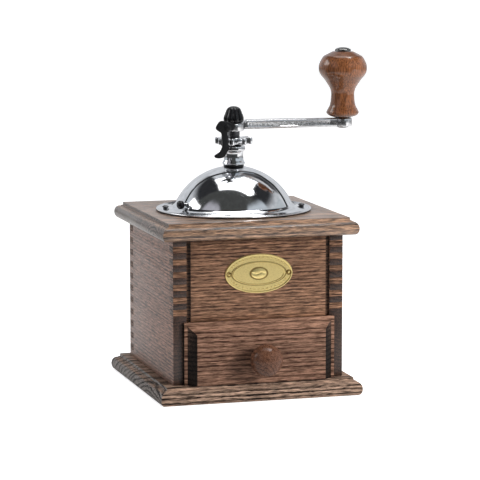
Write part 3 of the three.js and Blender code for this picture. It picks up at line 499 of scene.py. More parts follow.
def pressed_brass():
    """Pale satin brass with painted shade in dark rings at the foot of the inner line, the bean and the pins, and
    duller in fine grains
    """
    s = Shader(bpy.data.materials.new("brass"))
    place = s.millimetres()
    shifted = s.vector("SUBTRACT", place, (0, 0, PLATE_MIDDLE))

    def rounds(half_width, half_height):
        """The distance from the plate's middle, 1 on an oval of that size"""
        return s.vector("LENGTH", s.vector("MULTIPLY", shifted, (1 / half_width, 0, 1 / half_height)))

    # Painted shade: dark rings just outside the inner line, round the bean's edge and round the pins
    shade_by_inner_line = s.ranged(s.off(rounds(INNER_OVAL[0] / 2, INNER_OVAL[1] / 2), 1.05), 0.05, 0.0)
    shade_about_bean = s.ranged(s.off(rounds(BEAN_HALF[0] + 0.3, BEAN_HALF[1] + 0.3), 1.0), 0.16, 0.04)
    pin_place = (PLATE_WIDTH / 2 - PLATE_PIN_INSET, 0, 0)
    mirrored = s.vector("ABSOLUTE", s.vector("MULTIPLY", shifted, (1, 0, 1)))
    from_pin = s.vector("LENGTH", s.vector("SUBTRACT", mirrored, pin_place))
    shade_about_pins = s.ranged(s.off(from_pin, 1.25), 0.65, 0.3)
    line = s.maths("MAXIMUM", s.maths("MAXIMUM", shade_by_inner_line, shade_about_bean), shade_about_pins)
    height = s.noise(place, 1.6, 3, 0.7)
    grains = s.ranged(height, 0.42, 0.62)
    # The painted shade, with the fine grains of duller brass
    shade_and_grains = s.maths("ADD", s.product(line, 0.85), s.product(grains, 0.16), clamp=True)
    tint = s.blend(shade_and_grains, (1.0, 0.8, 0.34), (0.25, 0.15, 0.04))
    rough = s.ranged(grains, 0, 1, 0.3, 0.42)
    return s.surface(Base_Color=tint, Metallic=1.0, Roughness=rough, Normal=s.bump(height, 0.5, 0.25))


def forged_nickel():
    """Bright nickel; the sunk panels on both sides of the arm are rough from the mould"""
    s = Shader(bpy.data.materials.new("nickel"))
    place = s.millimetres()
    sideways = s.maths("ABSOLUTE", s.node("ShaderNodeSeparateXYZ", {0: place}).outputs["Y"])
    sunk = ARM_HALF - ARM_RECESS
    panel = s.within(sideways, sunk - 0.08, sunk + 0.08, 0.02)
    coarse = s.noise(place, 0.9, 3, 0.7)
    cloud = s.noise(place, 0.5, 3)
    smoothed = s.blend(s.ranged(cloud, 0.3, 0.7), (0.68, 0.68, 0.685), (0.8, 0.8, 0.81))
    cast = s.blend(s.ranged(coarse, 0.4, 0.6), (0.3, 0.3, 0.3), (0.88, 0.88, 0.89))
    tint = s.blend(panel, smoothed, cast)
    rough = s.ranged(panel, 0, 1, 0.2, 0.4)
    height = s.maths("ADD", s.product(coarse, panel), s.product(cloud, 0.15))
    return s.surface(Base_Color=tint, Metallic=1.0, Roughness=rough, Normal=s.bump(height, 0.7, 0.5))


CASE_LIGHT, CASE_DARK = (0.318, 0.17, 0.1), (0.022, 0.0075, 0.0055)
SIDE_LIGHT = (0.29, 0.148, 0.098)
EDGE_LIGHT, EDGE_DARK = (0.47, 0.312, 0.225), (0.008, 0.0045, 0.003)
TOP_LIGHT = (0.42, 0.255, 0.163)
DRAWER_LIGHT = (0.31, 0.172, 0.115)
KNOB_LIGHT, KNOB_DARK = (0.235, 0.085, 0.031), (0.04, 0.01, 0.004)
PULL_LIGHT, PULL_DARK = (0.165, 0.074, 0.043), (0.02, 0.007, 0.004)
INNER_LIGHT, INNER_DARK = (0.6, 0.43, 0.25), (0.3, 0.18, 0.09)
BOARD = {"ring": 2.2, "wave": 1.2, "ragged": 0.15, "lines": 1.1, "pores": 0.45, "speckle": 0.7}
INSIDE = {"lines": 0.6, "roughness": 0.6, "end_shade": 0.8}

# groove paints shade into the recess beside the front panel
front_wood = wood("front_wood", "X", (0, -20, -420), CASE_LIGHT, CASE_DARK, **BOARD, end_shade=0.8,
                  groove=(43.3, 46.1, -53.6))
back_wood = wood("back_wood", "X", (0, 40, 380), CASE_LIGHT, CASE_DARK, **BOARD, end_shade=0.85, end_grey=0.4)
side_wood = wood("side_wood", "Y", (-20, 0, -330), SIDE_LIGHT, CASE_DARK, ring=2.1, wave=1.6, ragged=0.15,
                 speckle=0.75, gloss=0.5, coat=0.4, end_shade=0.22, end_grey=0.0)
base_wood = wood("base_wood", "X", (0, -37, -9), EDGE_LIGHT, EDGE_DARK, ring=2.5, wave=1.8, ragged=0.12, flat=0.4,
                 lines=1.45, pores=0.5, speckle=0.85, gloss=0.2, end_shade=0.88, end_grey=0.7)
top_wood = wood("top_wood", "X", (0, -40, 84), TOP_LIGHT, EDGE_DARK, ring=2.4, wave=1.2, ragged=0.15, lines=1.45,
                pores=0.45, speckle=0.85, gloss=0.5, coat=0.8, end_shade=0.6, end_grey=0.4)
drawer_wood = wood("drawer_wood", "X", (0, -40, -140), DRAWER_LIGHT, CASE_DARK, ring=2.9, wave=1.8, ragged=0.15,
                   lines=1.0, speckle=0.65, gloss=0.12, end_shade=0.06, end_from=0.35, end_to=0.6, end_grey=0.3)
knob_wood = wood("knob_wood", "Z", (84, 40, 0), KNOB_LIGHT, KNOB_DARK, ring=2.2, lines=0.0, pores=0.35, speckle=0.6,
                 roughness=0.4, gloss=0.2, coat=1.0, polish=0.12, end_shade=0.75, end_grey=0.0)
pull_wood = wood("pull_wood", "Y", (-14, 0, 10), PULL_LIGHT, PULL_DARK, ring=2.2, lines=0.5, speckle=0.5, gloss=0.1,
                 coat=0.45, polish=0.2, end_shade=1.0, end_grey=0.0)
inner_wood = wood("inner_wood", "Y", (0, 0, -200), INNER_LIGHT, INNER_DARK, **INSIDE)
inner_wood_across = wood("inner_wood_across", "X", (0, 60, -200), INNER_LIGHT, INNER_DARK, **INSIDE)

chrome = metal("chrome", (0.8, 0.81, 0.83), 0.07)
dark_steel = metal("dark_steel", (0.2, 0.195, 0.19), 0.25, grain=0.08)
bright_steel = metal("bright_steel", (0.62, 0.62, 0.63), 0.22, grain=0.05, scale=0.6)
cast_iron = metal("cast_iron", (0.16, 0.155, 0.15), 0.5, grain=0.5, scale=1.1, spread=0.15)
thread_steel = metal("thread_steel", (0.13, 0.13, 0.135), 0.28, grain=0.08)
brass = pressed_brass()
nickel = forged_nickel()
satin_black = enamel("satin_black", (0.009, 0.0092, 0.01), 0.4, gloss=0.3)
gloss_black = enamel("gloss_black", (0.006, 0.006, 0.007), 0.18, gloss=0.4)


# Case

def case_boards():
    for node, material in (("left_side_board", side_wood), ("right_side_board", side_wood),
                           ("front_board", front_wood), ("back_board", back_wood)):
        dressed(node, "case_wood", material, 0.16)
    dressed("base_board", "moulding_wood", base_wood, 0.25)
    dressed("top_board", "moulding_wood", top_wood, 0.25)


def drawer():
    dressed("drawer_front", "drawer_wood", drawer_wood, 0.25)
    for side in ("left", "right"):
        dressed(f"drawer_{side}_side", "inner_wood", inner_wood, 0.3)
    dressed("drawer_back", "inner_wood", inner_wood_across, 0.3)
    dressed("drawer_bottom", "inner_wood", inner_wood, 0.2)


def drawer_knob():
    low, high = limits("drawer_knob")
    packed_sides = 24         # of the node, whose box is narrower than the circle through its corners
    neck, neck_length = 5, 1.6
    steps = 28
    radius = (high.x - low.x) / 2 / math.cos(math.radians(180 / packed_sides))
    bulge = math.sqrt(1 - (neck / radius) ** 2)
    half = (high.y - low.y - neck_length) / (1 + bulge)
    centre = neck_length + bulge * half
    start = -math.degrees(math.acos(neck / radius))
    angles = [math.radians(start + (90 - start) * k / steps) for k in range(steps)]
    ball = [(radius * math.cos(a), centre + half * math.sin(a)) for a in angles]
    piece = lathe("drawer_knob_turned", [(0, 0), (neck, 0), *ball, (0, centre + half)], sharp=TURNED_CORNER)
    turn(piece, (90, 0, 0), (0, high.y, (low.z + high.z) / 2))
    stand_for(piece, "drawer_knob", "drawer_wood", pull_wood)


# Plate

def oval(width, height, sides=96):
    """Points (x, z) of an oval about the plate's middle"""
    places = (2 * math.pi * k / sides for k in range(sides))
    return [(width / 2 * math.cos(a), PLATE_MIDDLE + height / 2 * math.sin(a)) for a in places]


def raised_oval(width, height, line, low, high):
    """A rounded wire that follows an oval on the plate"""
    rounding = [(0, 0), (0.12, 0.7), (0.5, 1), (0.88, 0.7), (1, 0)]     # share of the line, share of the rise
    points = []
    for inset, rise in rounding:
        outline = oval(width - 2 * inset * line, height - 2 * inset * line)
        points += [(x, low - rise * (low - high), z) for x, z in outline]
    sides = len(points) // len(rounding)
    rows = [range(start, start + sides) for start in range(0, len(points), sides)]
    return new_piece("raised_oval", points, bands([*rows, rows[0]]))


def plate():
    relief = 0.5              # how far rim and bean stand out
    front = plate_low.y
    face = front + relief
    inset = 0.3               # of the rim's wire
    sheet = soften(upright("name_plate_pressed", oval(PLATE_WIDTH, PLATE_HEIGHT), face, plate_high.y), 0.2)
    rim = raised_oval(PLATE_WIDTH - inset, PLATE_HEIGHT - inset, 1, face, front)
    line = raised_oval(*INNER_OVAL, 0.6, face, front + 0.1)
    join(sheet, rim, line)
    stand_for(sheet, "name_plate", "brass", brass)
    for side in ("left", "right"):
        dressed(f"plate_pin_{side}", "brass", brass, 0.12)
    bean(face, front)
    beads(face)


def beads(face):
    """A row of small round studs between the rim and the inner oval, with room left for the pins"""
    count, sides, radius = 44, 12, 0.5
    inset_x, inset_z, pin_room = 5.2, 4.7, 1.8
    profile = [(1, -0.1), (1, 0.05), (0.75, 0.28), (0.35, 0.4)]         # share of the radius, rise
    reach = PLATE_WIDTH / 2 - PLATE_PIN_INSET - pin_room
    points, faces = [], []
    for x, z in oval(PLATE_WIDTH - inset_x, PLATE_HEIGHT - inset_z, count):
        if abs(x) > reach:
            continue
        rows = []
        for share, rise in profile:
            rows.append(range(len(points), len(points) + sides))
            ring = (polar(radius * share, 360 * k / sides) for k in range(sides))
            points += [(x + sideways, face - rise, z + up) for sideways, up in ring]
        faces += [tuple(rows[0]), tuple(rows[-1]), *bands(rows)]
    detail(new_piece("plate_beads", points, faces, RELIEF_CORNER), "name_plate", "brass", brass)


def bean(face, front):
    """A coffee bean in low relief in the middle of the plate"""
    half_width, half_height = BEAN_HALF
    crease_width, crease_depth = 0.55, 0.8
    wave, turns = 0.5, 0.9    # of the crease, which follows a sine
    steps, sides = 10, 64
    points = [(0, front, PLATE_MIDDLE)]
    rows = [[0] * sides]
    for step in range(1, steps + 1):
        share = step / steps
        rows.append(range(len(points), len(points) + sides))
        for k in range(sides):
            angle = 2 * math.pi * k / sides
            x = half_width * share * math.cos(angle)
            z = half_height * share * math.sin(angle)
            off_crease = (z - wave * math.sin(x * turns)) / crease_width
            crease = crease_depth * math.exp(-off_crease ** 2) * (1 - share ** 4)
            rise = (1 - share ** 2) ** 0.5 - crease
            points.append((x, face - max(rise, 0) * (face - front), PLATE_MIDDLE + z))
    faces = [*bands(rows), tuple(rows[-1])]
    detail(new_piece("plate_bean", points, faces, RELIEF_CORNER), "name_plate", "brass", brass)


# Dome

HOOD_SCREW_CIRCLE = 43.5
HOOD_SCREW_ANGLE = 171
OPENING_FROM, OPENING_TO = 194.5, 319.5
OPENING_SILL = 3.8
# The opening's upper edge in plan: share of the opening's angle, share of the dome's radius
OPENING_SHARES = [(0, 1), (0, 0.72), (0.03, 0.6), (0.085, 0.5), (0.2, 0.4), (0.5, 0.32), (0.8, 0.35), (0.9, 0.4),
                  (0.95, 0.48), (0.98, 0.6), (1, 0.72), (1, 1)]
# The flange: inset from its rim, rise over its foot
FLANGE_RIM = [(1.1, 0.35), (0.35, 0.5), (0, 0.9), (0.2, 1.35), (0.75, 1.5), (1.3, 1.0), (1.7, 0.85), (2.3, 1.5),
              (2.9, 1.0)]
FLANGE_TOP = [(2.9, 1.0), (4.5, 1.15), (7.6, 1.55), (9.9, 2.3), (11.2, 3.3)]
FLANGE_UNDERSIDE = [(11, 1.9), (7.6, 0.5), (2, 0.35)]
# A black ring under the rim stands in for the contact shadow where the flange meets the wood: painted shadow
FLANGE_SHADOW_RING = [(4, 0), (0.25, 0), (0.15, 0.2), (0.3, 0.42), (4, 0.42)]
# Elevations on the dome: the top of the flange's fillet, the lowest points of the outside and the inside
FILLET_END, DOME_FOOT, DOME_INNER_FOOT = 25.3, 25.8, 24


def hole_angle(radius):
    """The elevation on a dome of that radius at which the spigot's hole begins"""
    return math.degrees(math.acos(SPIGOT_HOLE / radius))


def on_flange(line):
    return [(hood_high.x - inset, hood_low.z + rise) for inset, rise in line]


def hood():
    reach, rise = polar(DOME_RADIUS, FILLET_END)
    skirt = [*smooth(on_flange(FLANGE_RIM)), *smooth([*on_flange(FLANGE_TOP), (reach, DOME_CENTRE + rise)])]
    inside = DOME_RADIUS - DOME_SHEET
    outer = arc(DOME_RADIUS, DOME_CENTRE, DOME_FOOT, hole_angle(DOME_RADIUS))
    inner = arc(inside, DOME_CENTRE, hole_angle(inside), DOME_INNER_FOOT)
    shell = lathe("hood_spun", [*skirt, *outer, *inner, *on_flange(FLANGE_UNDERSIDE)], sides=DOME_SIDES)
    spread = OPENING_TO - OPENING_FROM
    edge = [polar(v * DOME_RADIUS, OPENING_FROM + u * spread) for u, v in OPENING_SHARES]
    outside = sector(2 * DOME_RADIUS, OPENING_TO, OPENING_FROM, 4)
    cut(shell, prism("mouth", smooth(edge) + outside, DECK + OPENING_SILL, DECK + DOME_RADIUS))
    shade(shell, DOME_CORNER)
    stand_for(shell, "hopper_hood", "chrome", chrome)
    # Painted shadow: a black ring under the flange's rim for the dark contact line on the wood
    rim_shadow = lathe("hood_shadow_ring", on_flange(FLANGE_SHADOW_RING), sides=DOME_SIDES, sharp=TURNED_CORNER)
    detail(rim_shadow, "hopper_hood", "black", satin_black)
    for side, angle in (("left", HOOD_SCREW_ANGLE), ("right", HOOD_SCREW_ANGLE + 180)):
        screw(f"hood_screw_{side}", polar(HOOD_SCREW_CIRCLE, angle), angle + 40)


def screw(node, place, slot_angle):
    """A round-headed screw with a slot, standing upright"""
    low, high = limits(node)
    radius, head = 2.1, 1.1
    shank, point = 1.6, 1.2
    slot_half = 0.35
    seat = high.z - head
    crown = smooth([(radius, seat + 0.15), (radius * 0.94, seat + head * 0.45), (radius * 0.6, seat + head * 0.86),
                    (radius * 0.25, high.z - 0.02)])
    profile = [(0, low.z), (point, low.z), (shank, low.z + 1), (shank, seat), (radius, seat), *crown, (0, high.z)]
    piece = lathe(node + "_turned", profile, sides=SMALL_SIDES)
    slot = cuboid("slot", (-radius * 2, -slot_half, high.z - head * 0.5), (radius * 2, slot_half, high.z + OVERRUN))
    cut(piece, turn(slot, (0, 0, slot_angle)))
    turn(piece, place=(*place, 0))
    stand_for(piece, node, "steel", thread_steel)


def door():
    sill = DECK + 1.1
    first, last = 190, 324
    ring = 12                 # outer radius of the ring about the neck

    def sill_angle(radius):
        return math.degrees(math.asin((sill - DOME_CENTRE) / radius))

    inside = DOOR_RADIUS - DOOR_SHEET
    outer = arc(DOOR_RADIUS, DOME_CENTRE, sill_angle(DOOR_RADIUS), hole_angle(DOOR_RADIUS))
    inner = arc(inside, DOME_CENTRE, hole_angle(inside), sill_angle(inside))
    shell = lathe("door_spun", [*outer, *inner], sides=DOME_SIDES)
    outline = sector(2 * DOME_RADIUS, first, last, 6) + sector(ring, last, first + 360, 48)
    combine(shell, "INTERSECT", prism("leaf", outline, DECK - OVERRUN, DECK + DOME_RADIUS))
    shade(shell, DOME_CORNER)
    stand_for(shell, "dome_door", "chrome", chrome)
    door_knob()


def door_knob():
    """A black button on a bright stem, which points straight out from the shaft"""
    angle, height = 198.5, DECK + 5.8
    radius, length, stem = 2.7, 3.9, 2.9
    rod_radius, collar, root = 1.2, 1.7, 3
    seat = math.sqrt(DOOR_RADIUS ** 2 - (height - DOME_CENTRE) ** 2)
    foot = seat + stem
    # Share of the radius, share of the length
    head = smooth([(0.6, 0), (0.82, 0.06), (0.97, 0.28), (1, 0.55), (0.9, 0.8), (0.55, 0.95), (0, 1)])
    button = lathe("door_knob_turned", [(0, foot), *[(u * radius, foot + v * length) for u, v in head]],
                   sides=SMALL_SIDES, sharp=TURNED_CORNER)
    rod = lathe("door_knob_stem", [(0, seat - root), (rod_radius, seat - root), (rod_radius, seat),
                                   (rod_radius, foot - 0.6), (collar, foot + 0.1), (0, foot + 0.1)],
                sides=SMALL_SIDES, sharp=TURNED_CORNER)
    for piece in (button, rod):
        turn(piece, (0, 90, 0))
        turn(piece, (0, 0, angle), (0, 0, height))
    stand_for(button, "door_knob", "black", gloss_black)
    detail(rod, "door_knob", "steel", bright_steel)


def neck():
    spigot, flare = 5.5, 7.3
    foot = neck_high.z - SPOOL_HEIGHT
    # Share of the flare, share of the spool's height
    spool = [(0.76, 0), (0.76, 0.07),
             *smooth([(0.86, 0.08), (0.96, 0.1), (1, 0.15), (0.96, 0.22), (0.88, 0.3), (0.84, 0.42), (0.83, 0.56),
                      (0.85, 0.68), (0.9, 0.76)]),
             *smooth([(0.97, 0.78), (1, 0.83), (1, 0.92), (0.985, 0.98), (0.94, 1)])]
    profile = [(SHAFT_BORE, neck_low.z), (spigot, neck_low.z), (spigot, foot),
               *[(u * flare, foot + v * SPOOL_HEIGHT) for u, v in spool], (SHAFT_BORE, neck_high.z)]
    stand_for(lathe("neck_post_turned", profile, sharp=TURNED_CORNER), "neck_post", "chrome", chrome)
    dressed("door_retaining_nut", "steel", bright_steel, 0.25)
    low, high = limits("thrust_washer")
    radius, inset, rounding = high.x, 0.4, 0.5
    edge = smooth([(radius - inset, low.z), (radius, low.z + rounding), (radius, high.z - rounding),
                   (radius - inset, high.z)])
    washer = lathe("thrust_washer_turned", [(SHAFT_BORE, low.z), *edge, (SHAFT_BORE, high.z)], sides=SMALL_SIDES,
                   sharp=TURNED_CORNER)
    stand_for(washer, "thrust_washer", "black", satin_black)
    # Painted shadow: a black ring under the spool stands in for the dark gap where the neck meets the dome
    bore = spigot + 0.1
    section = [(bore, 0), (6.3, 0), (6.5, 0.2), (6.5, 0.7), (6.3, 0.9), (bore, 0.9)]
    gap_shadow = lathe("neck_shadow_ring", [(r, foot + z) for r, z in section], sides=SMALL_SIDES, sharp=TURNED_CORNER)
    detail(gap_shadow, "neck_post", "black", satin_black)


# Shaft, wheel and crank

def shaft():
    low, high = limits("crank_shaft")
    stud_length, stud_radius = 7, 2.5
    square_length, square_half = 5, 2.8
    square_top = high.z - stud_length
    shoulder = square_top - square_length
    collar_low, collar_high, collar = DECK + 3.3, DECK + 4.8, 6.4
    chamfer = 0.4
    pitch, depth, steps = 0.9, 0.3, 8
    thread_from, thread_to = wheel_low.z - 1, shoulder - 0.2

    def thread(angle, r, z):
        if not thread_from <= z <= thread_to:
            return r
        phase = (z / pitch - angle / (2 * math.pi)) % 1
        return r - depth * (1 - abs(2 * phase - 1))

    count = int((shoulder - thread_from) / pitch * steps)
    fine = [(SHAFT_RADIUS, thread_from + k * pitch / steps) for k in range(count)]
    profile = [(0, low.z), (SHAFT_RADIUS - chamfer, low.z), (SHAFT_RADIUS, low.z + chamfer),
               (SHAFT_RADIUS, collar_low), (collar, collar_low), (collar, collar_high), (SHAFT_RADIUS, collar_high),
               *fine, (SHAFT_RADIUS, shoulder), (0, shoulder)]
    piece = lathe("crank_shaft_cut", profile, sides=SMALL_SIDES, ripple=thread)
    square = cuboid("square", (-square_half, -square_half, shoulder - OVERRUN),
                    (square_half, square_half, square_top))
    join(piece, square, cylinder("stud", stud_radius, square_top - OVERRUN, high.z))
    stand_for(piece, "crank_shaft", "dark_steel", thread_steel)


def wheel():
    teeth, tip_steps = 8, 12
    hub, reach = 6.5, 12
    half = 1.8                # of a tooth's width
    root = math.degrees(math.asin(half / hub))
    outline = []
    for k in range(teeth):
        middle = 360 * (k + 0.5) / teeth
        x, y = polar(reach - half, middle)
        tip = sector(half, middle - 90, middle + 90, tip_steps)
        outline += [polar(hub, middle - root), *[(x + a, y + b) for a, b in tip],
                    polar(hub, middle + root), polar(hub, middle + 180 / teeth)]
    piece = prism("adjusting_wheel_milled", outline, wheel_low.z, wheel_high.z)
    cut(piece, cylinder("bore", SHAFT_BORE, wheel_low.z - OVERRUN, wheel_high.z + OVERRUN))
    soften(piece, 0.45, 3, MOULDED_CORNER)
    stand_for(piece, "adjusting_wheel", "chrome", chrome)


def arm_ring(x, low, high, recess):
    """A section of the arm: rounded corners and a shallow sunk panel on both sides"""
    corner, margin, slope = 1.15, 1.5, 0.3
    apart = 0.01              # keeps the panel's edges apart where it has no depth
    middle = (low + high) / 2
    panel = (high - low) / 2 - margin
    side = [(ARM_HALF, middle - panel - apart), (ARM_HALF - recess, middle - panel + slope),
            (ARM_HALF - recess, middle + panel - slope), (ARM_HALF, middle + panel + apart)]
    upper = [(ARM_HALF - corner + y, high - corner + z) for y, z in sector(corner, 0, 90, 4)]
    lower = [(y, low + high - z) for y, z in reversed(upper)]
    right = [*lower, *side, *upper]
    left = [(-y, z) for y, z in reversed(right)]
    return [(x, y, z) for y, z in [*right, *left]]


def crank():
    low = arm_low.z + 1.1     # the bar's underside
    boss_top = knob_low.z - 0.3
    hub_top = nut_low.z - 0.2
    hub_radius, boss_radius, lug_length = 6.6, 6, 5.8
    # Place along the arm, top, depth of the panels
    stations = [(6.2, arm_high.z - 1.6, 0), (7.3, arm_high.z - 0.7, 0), (8.8, arm_high.z, 0),
                (9.3, arm_high.z, ARM_RECESS), (36, arm_high.z - 0.1, ARM_RECESS),
                (63, boss_top + 0.15, ARM_RECESS), (63.5, boss_top + 0.1, 0), (CRANK_REACH, boss_top, 0)]
    bar = loft("crank_arm_forged", [arm_ring(x, low, high, recess) for x, high, recess in stations])
    hub = cylinder("hub", hub_radius, arm_low.z, hub_top, sides=FINE_SIDES)
    boss = cylinder("boss", boss_radius, low, boss_top, (CRANK_REACH, 0), FINE_SIDES)
    lug = cuboid("lug", (arm_low.x, arm_low.y, arm_low.z + 0.8), (arm_low.x + lug_length, 0, hub_top))
    join(bar, soften(hub, 0.5, 3), soften(boss, 0.7, 3), soften(lug, 0.5, 3))
    stand_for(bar, "crank_arm", "chrome", nickel)


def nut():
    lobes, flute, valley = 8, 1.0, 0.8
    radius = 6.6
    height = nut_high.z - nut_low.z
    # Share of the radius, share of the height
    outline = smooth([(0.7, 0), (0.88, 0.04), (0.98, 0.14), (1, 0.24), (0.98, 0.36), (0.92, 0.47), (0.84, 0.58),
                      (0.77, 0.7), (0.64, 0.85), (0.36, 0.965), (0, 1)])

    def fluted(angle, r, _):
        return r - flute * (r / radius) * (1 - abs(math.cos(lobes * angle / 2)) ** valley)

    profile = [(0, nut_low.z), *[(u * radius, nut_low.z + v * height) for u, v in outline]]
    piece = lathe("acorn_nut_moulded", profile, ripple=fluted, sharp=MOULDED_CORNER)
    stand_for(piece, "acorn_nut", "black", gloss_black)


# The catch lever's outline: share of its width, share of its height
LEVER_SHARES = [
    (0.35, 1), (0.18, 0.95), (0.05, 0.81), (0.16, 0.73), (0.31, 0.67), (0.34, 0.56), (0.37, 0.35), (0.25, 0.18),
    (0, 0.085), (0.03, 0.017), (0.25, 0), (0.46, 0.038), (0.58, 0.144), (0.7, 0.25), (0.64, 0.36), (0.64, 0.56),
    (0.61, 0.66), (0.68, 0.72), (0.9, 0.74), (1, 0.85), (0.9, 0.92), (0.63, 0.96),
]


def lever():
    sheet = 1.6
    nose_thickness = 1.5
    nose_stop = 12.2          # how near to the shaft's axis the nose comes, just clear of the wheel
    front, rear = lever_low.y, lever_low.y + sheet
    width, height = lever_high.x - lever_low.x, lever_high.z - lever_low.z
    shares = [(lever_low.x + u * width, lever_low.z + v * height) for u, v in LEVER_SHARES]
    piece = upright("catch_lever_pressed", smooth(shares, closed=True, steps=5), front, rear)
    soften(piece, 0.3, 3, MOULDED_CORNER)
    nose_right = -math.sqrt(nose_stop ** 2 - lever_high.y ** 2)
    nose = cuboid("nose", (nose_right - nose_thickness, rear - sheet / 2, wheel_low.z),
                  (nose_right, lever_high.y, wheel_high.z))
    join(piece, soften(nose, 0.15))
    stand_for(piece, "catch_lever", "black", satin_black)
    dressed("catch_pin", "black", satin_black, 0.15)


def handle():
    bore = 2.6
    radius = (knob_high.x - knob_low.x) / 2
    height = knob_high.z - knob_low.z
    # Share of the radius, share of the height
    outline = smooth([
        (0.33, 0), (0.58, 0.03), (0.675, 0.074), (0.62, 0.126), (0.545, 0.178), (0.505, 0.24), (0.483, 0.31),
        (0.48, 0.37), (0.53, 0.44), (0.64, 0.508), (0.755, 0.57), (0.91, 0.64), (0.98, 0.693), (1, 0.762),
        (0.965, 0.83), (0.825, 0.92), (0.68, 0.955), (0.44, 1),
    ])
    profile = [(bore, knob_low.z), *[(u * radius, knob_low.z + v * height) for u, v in outline], (bore, knob_high.z)]
    knob = lathe("crank_knob_turned", profile, centre=(CRANK_REACH, 0), sharp=MOULDED_CORNER)
    stand_for(knob, "crank_knob", "varnished_wood", knob_wood)


def spindle():
    low, high = limits("knob_spindle")
    shank, head, foot = 2.4, 5.2, 4
    head_height, foot_height = 2.4, 1.1
    head_low, foot_high = high.z - head_height, low.z + foot_height
    # Share of the radius, share of the height
    cap = smooth([(0.97, 0), (1, 0.15), (0.92, 0.5), (0.5, 0.9), (0, 1)])
    rivet = smooth([(0, 1), (0.55, 0.85), (0.95, 0.35), (1, 0)])
    profile = [*[(u * foot, foot_high - v * foot_height) for u, v in rivet], (shank, foot_high), (shank, head_low),
               *[(u * head, head_low + v * head_height) for u, v in cap]]
    piece = lathe("knob_spindle_turned", profile, centre=(CRANK_REACH, 0), sides=SPINDLE_SIDES, sharp=TURNED_CORNER)
    stand_for(piece, "knob_spindle", "steel", dark_steel)


# Hopper bowl and the hidden works

def bowl():
    low, high = limits("hopper_bowl")
    wall_top, throat, sheet = 36.8, 16.2, 0.8
    outer = smooth([(throat + sheet, low.z), (24.5, low.z + 12), (32, low.z + 24.5), (wall_top, high.z - sheet)])
    inner = [(r - sheet, z) for r, z in reversed(outer)]
    profile = [*outer, (high.x, high.z - sheet), (high.x, high.z), (wall_top - sheet, high.z), *inner[1:]]
    stand_for(lathe("hopper_bowl_spun", profile, sharp=TURNED_CORNER), "hopper_bowl", "steel", bright_steel)


def hidden_works():
    for node in ("burr_housing", "outer_burr", "inner_burr", "bearing_bridge"):
        dressed(node, "iron", cast_iron, 0.15)
    for node in ("burr_nut", "shaft_spring", "drawer_knob_screw", "bridge_screw_left", "bridge_screw_right",
                 *[f"housing_screw_{k}" for k in (1, 2, 3)], *[f"base_screw_{k}" for k in (1, 2, 3, 4)]):
        nodes[node].data.materials.clear()
        nodes[node].data.materials.append(bright_steel)


# Studio. VIEW_RIGHT and TO_CAMERA are level, as seen from the camera

VIEW_RIGHT = Vector((0.958, -0.285, 0))
TO_CAMERA = Vector((-0.285, -0.958, 0))
LAMP_TARGET = Vector((0, 0, 0.1))


def camera():
    data = bpy.data.cameras.new("camera")
    data.sensor_width = 36
    data.lens = 183.5
    data.clip_end = 20
    eye = bpy.data.objects.new("camera", data)
    eye.location = (-0.4352, -1.4796, 0.3086)
    eye.rotation_euler = [math.radians(a) for a in (82, 0, -16.54)]
    bpy.context.scene.collection.objects.link(eye)
    bpy.context.scene.camera = eye


def lamp(name, right, front, height, width, power):
    """A square light that metal doesn't mirror. Places and width are in metres"""
    data = bpy.data.lights.new(name, "AREA")
    data.size = width
    data.energy = power
    light = bpy.data.objects.new(name, data)
    light.visible_glossy = False
    light.location = VIEW_RIGHT * right + TO_CAMERA * front + Vector((0, 0, height))
    light.rotation_euler = (light.location - LAMP_TARGET).to_track_quat("Z", "Y").to_euler()
    bpy.context.scene.collection.objects.link(light)


def floor():
    half = 6
    mesh = bpy.data.meshes.new("floor")
    mesh.from_pydata([(-half, -half, 0), (half, -half, 0), (half, half, 0), (-half, half, 0)], [], [(0, 1, 2, 3)])
    piece = bpy.data.objects.new("floor", mesh)
    bpy.context.scene.collection.objects.link(piece)
    s = Shader(bpy.data.materials.new("floor"))
    place = s.place()
    paths = s.node("ShaderNodeLightPath").outputs
    mirror = paths["Is Glossy Ray"]
    away = s.vector("LENGTH", place)
    front = s.maths("DIVIDE", s.vector("DOT_PRODUCT", place, tuple(TO_CAMERA)), away)
    right = s.maths("DIVIDE", s.vector("DOT_PRODUCT", place, tuple(VIEW_RIGHT)), away)
    # In metal, the far floor in front is dark but for a wedge on the right
    beside_wedge = s.maths("SUBTRACT", 1.0, s.ranged(right, 0.72, 0.8))
    dark = s.product(s.ranged(away, 0.35, 0.5), s.ranged(front, -0.25, 0.0), beside_wedge, mirror)
    pale = s.blend(s.cloud(place, 3, 2), (0.84, 0.84, 0.84), (0.86, 0.86, 0.86))
    colour = s.blend(dark, pale, (0.06, 0.06, 0.06))
    # A glow makes it white in the picture, and keeps it pale in metal near the object
    near = s.product(s.ranged(away, 1.4, 0.6), s.maths("SUBTRACT", 1.0, dark))
    glow = s.maths("ADD", s.product(paths["Is Camera Ray"], 0.8), s.product(mirror, near, 0.3))
    mesh.materials.append(s.surface(Base_Color=colour, Roughness=0.9, Specular_IOR_Level=0.1,
                                    Emission_Color=(1.0, 1.0, 1.0), Emission_Strength=glow))


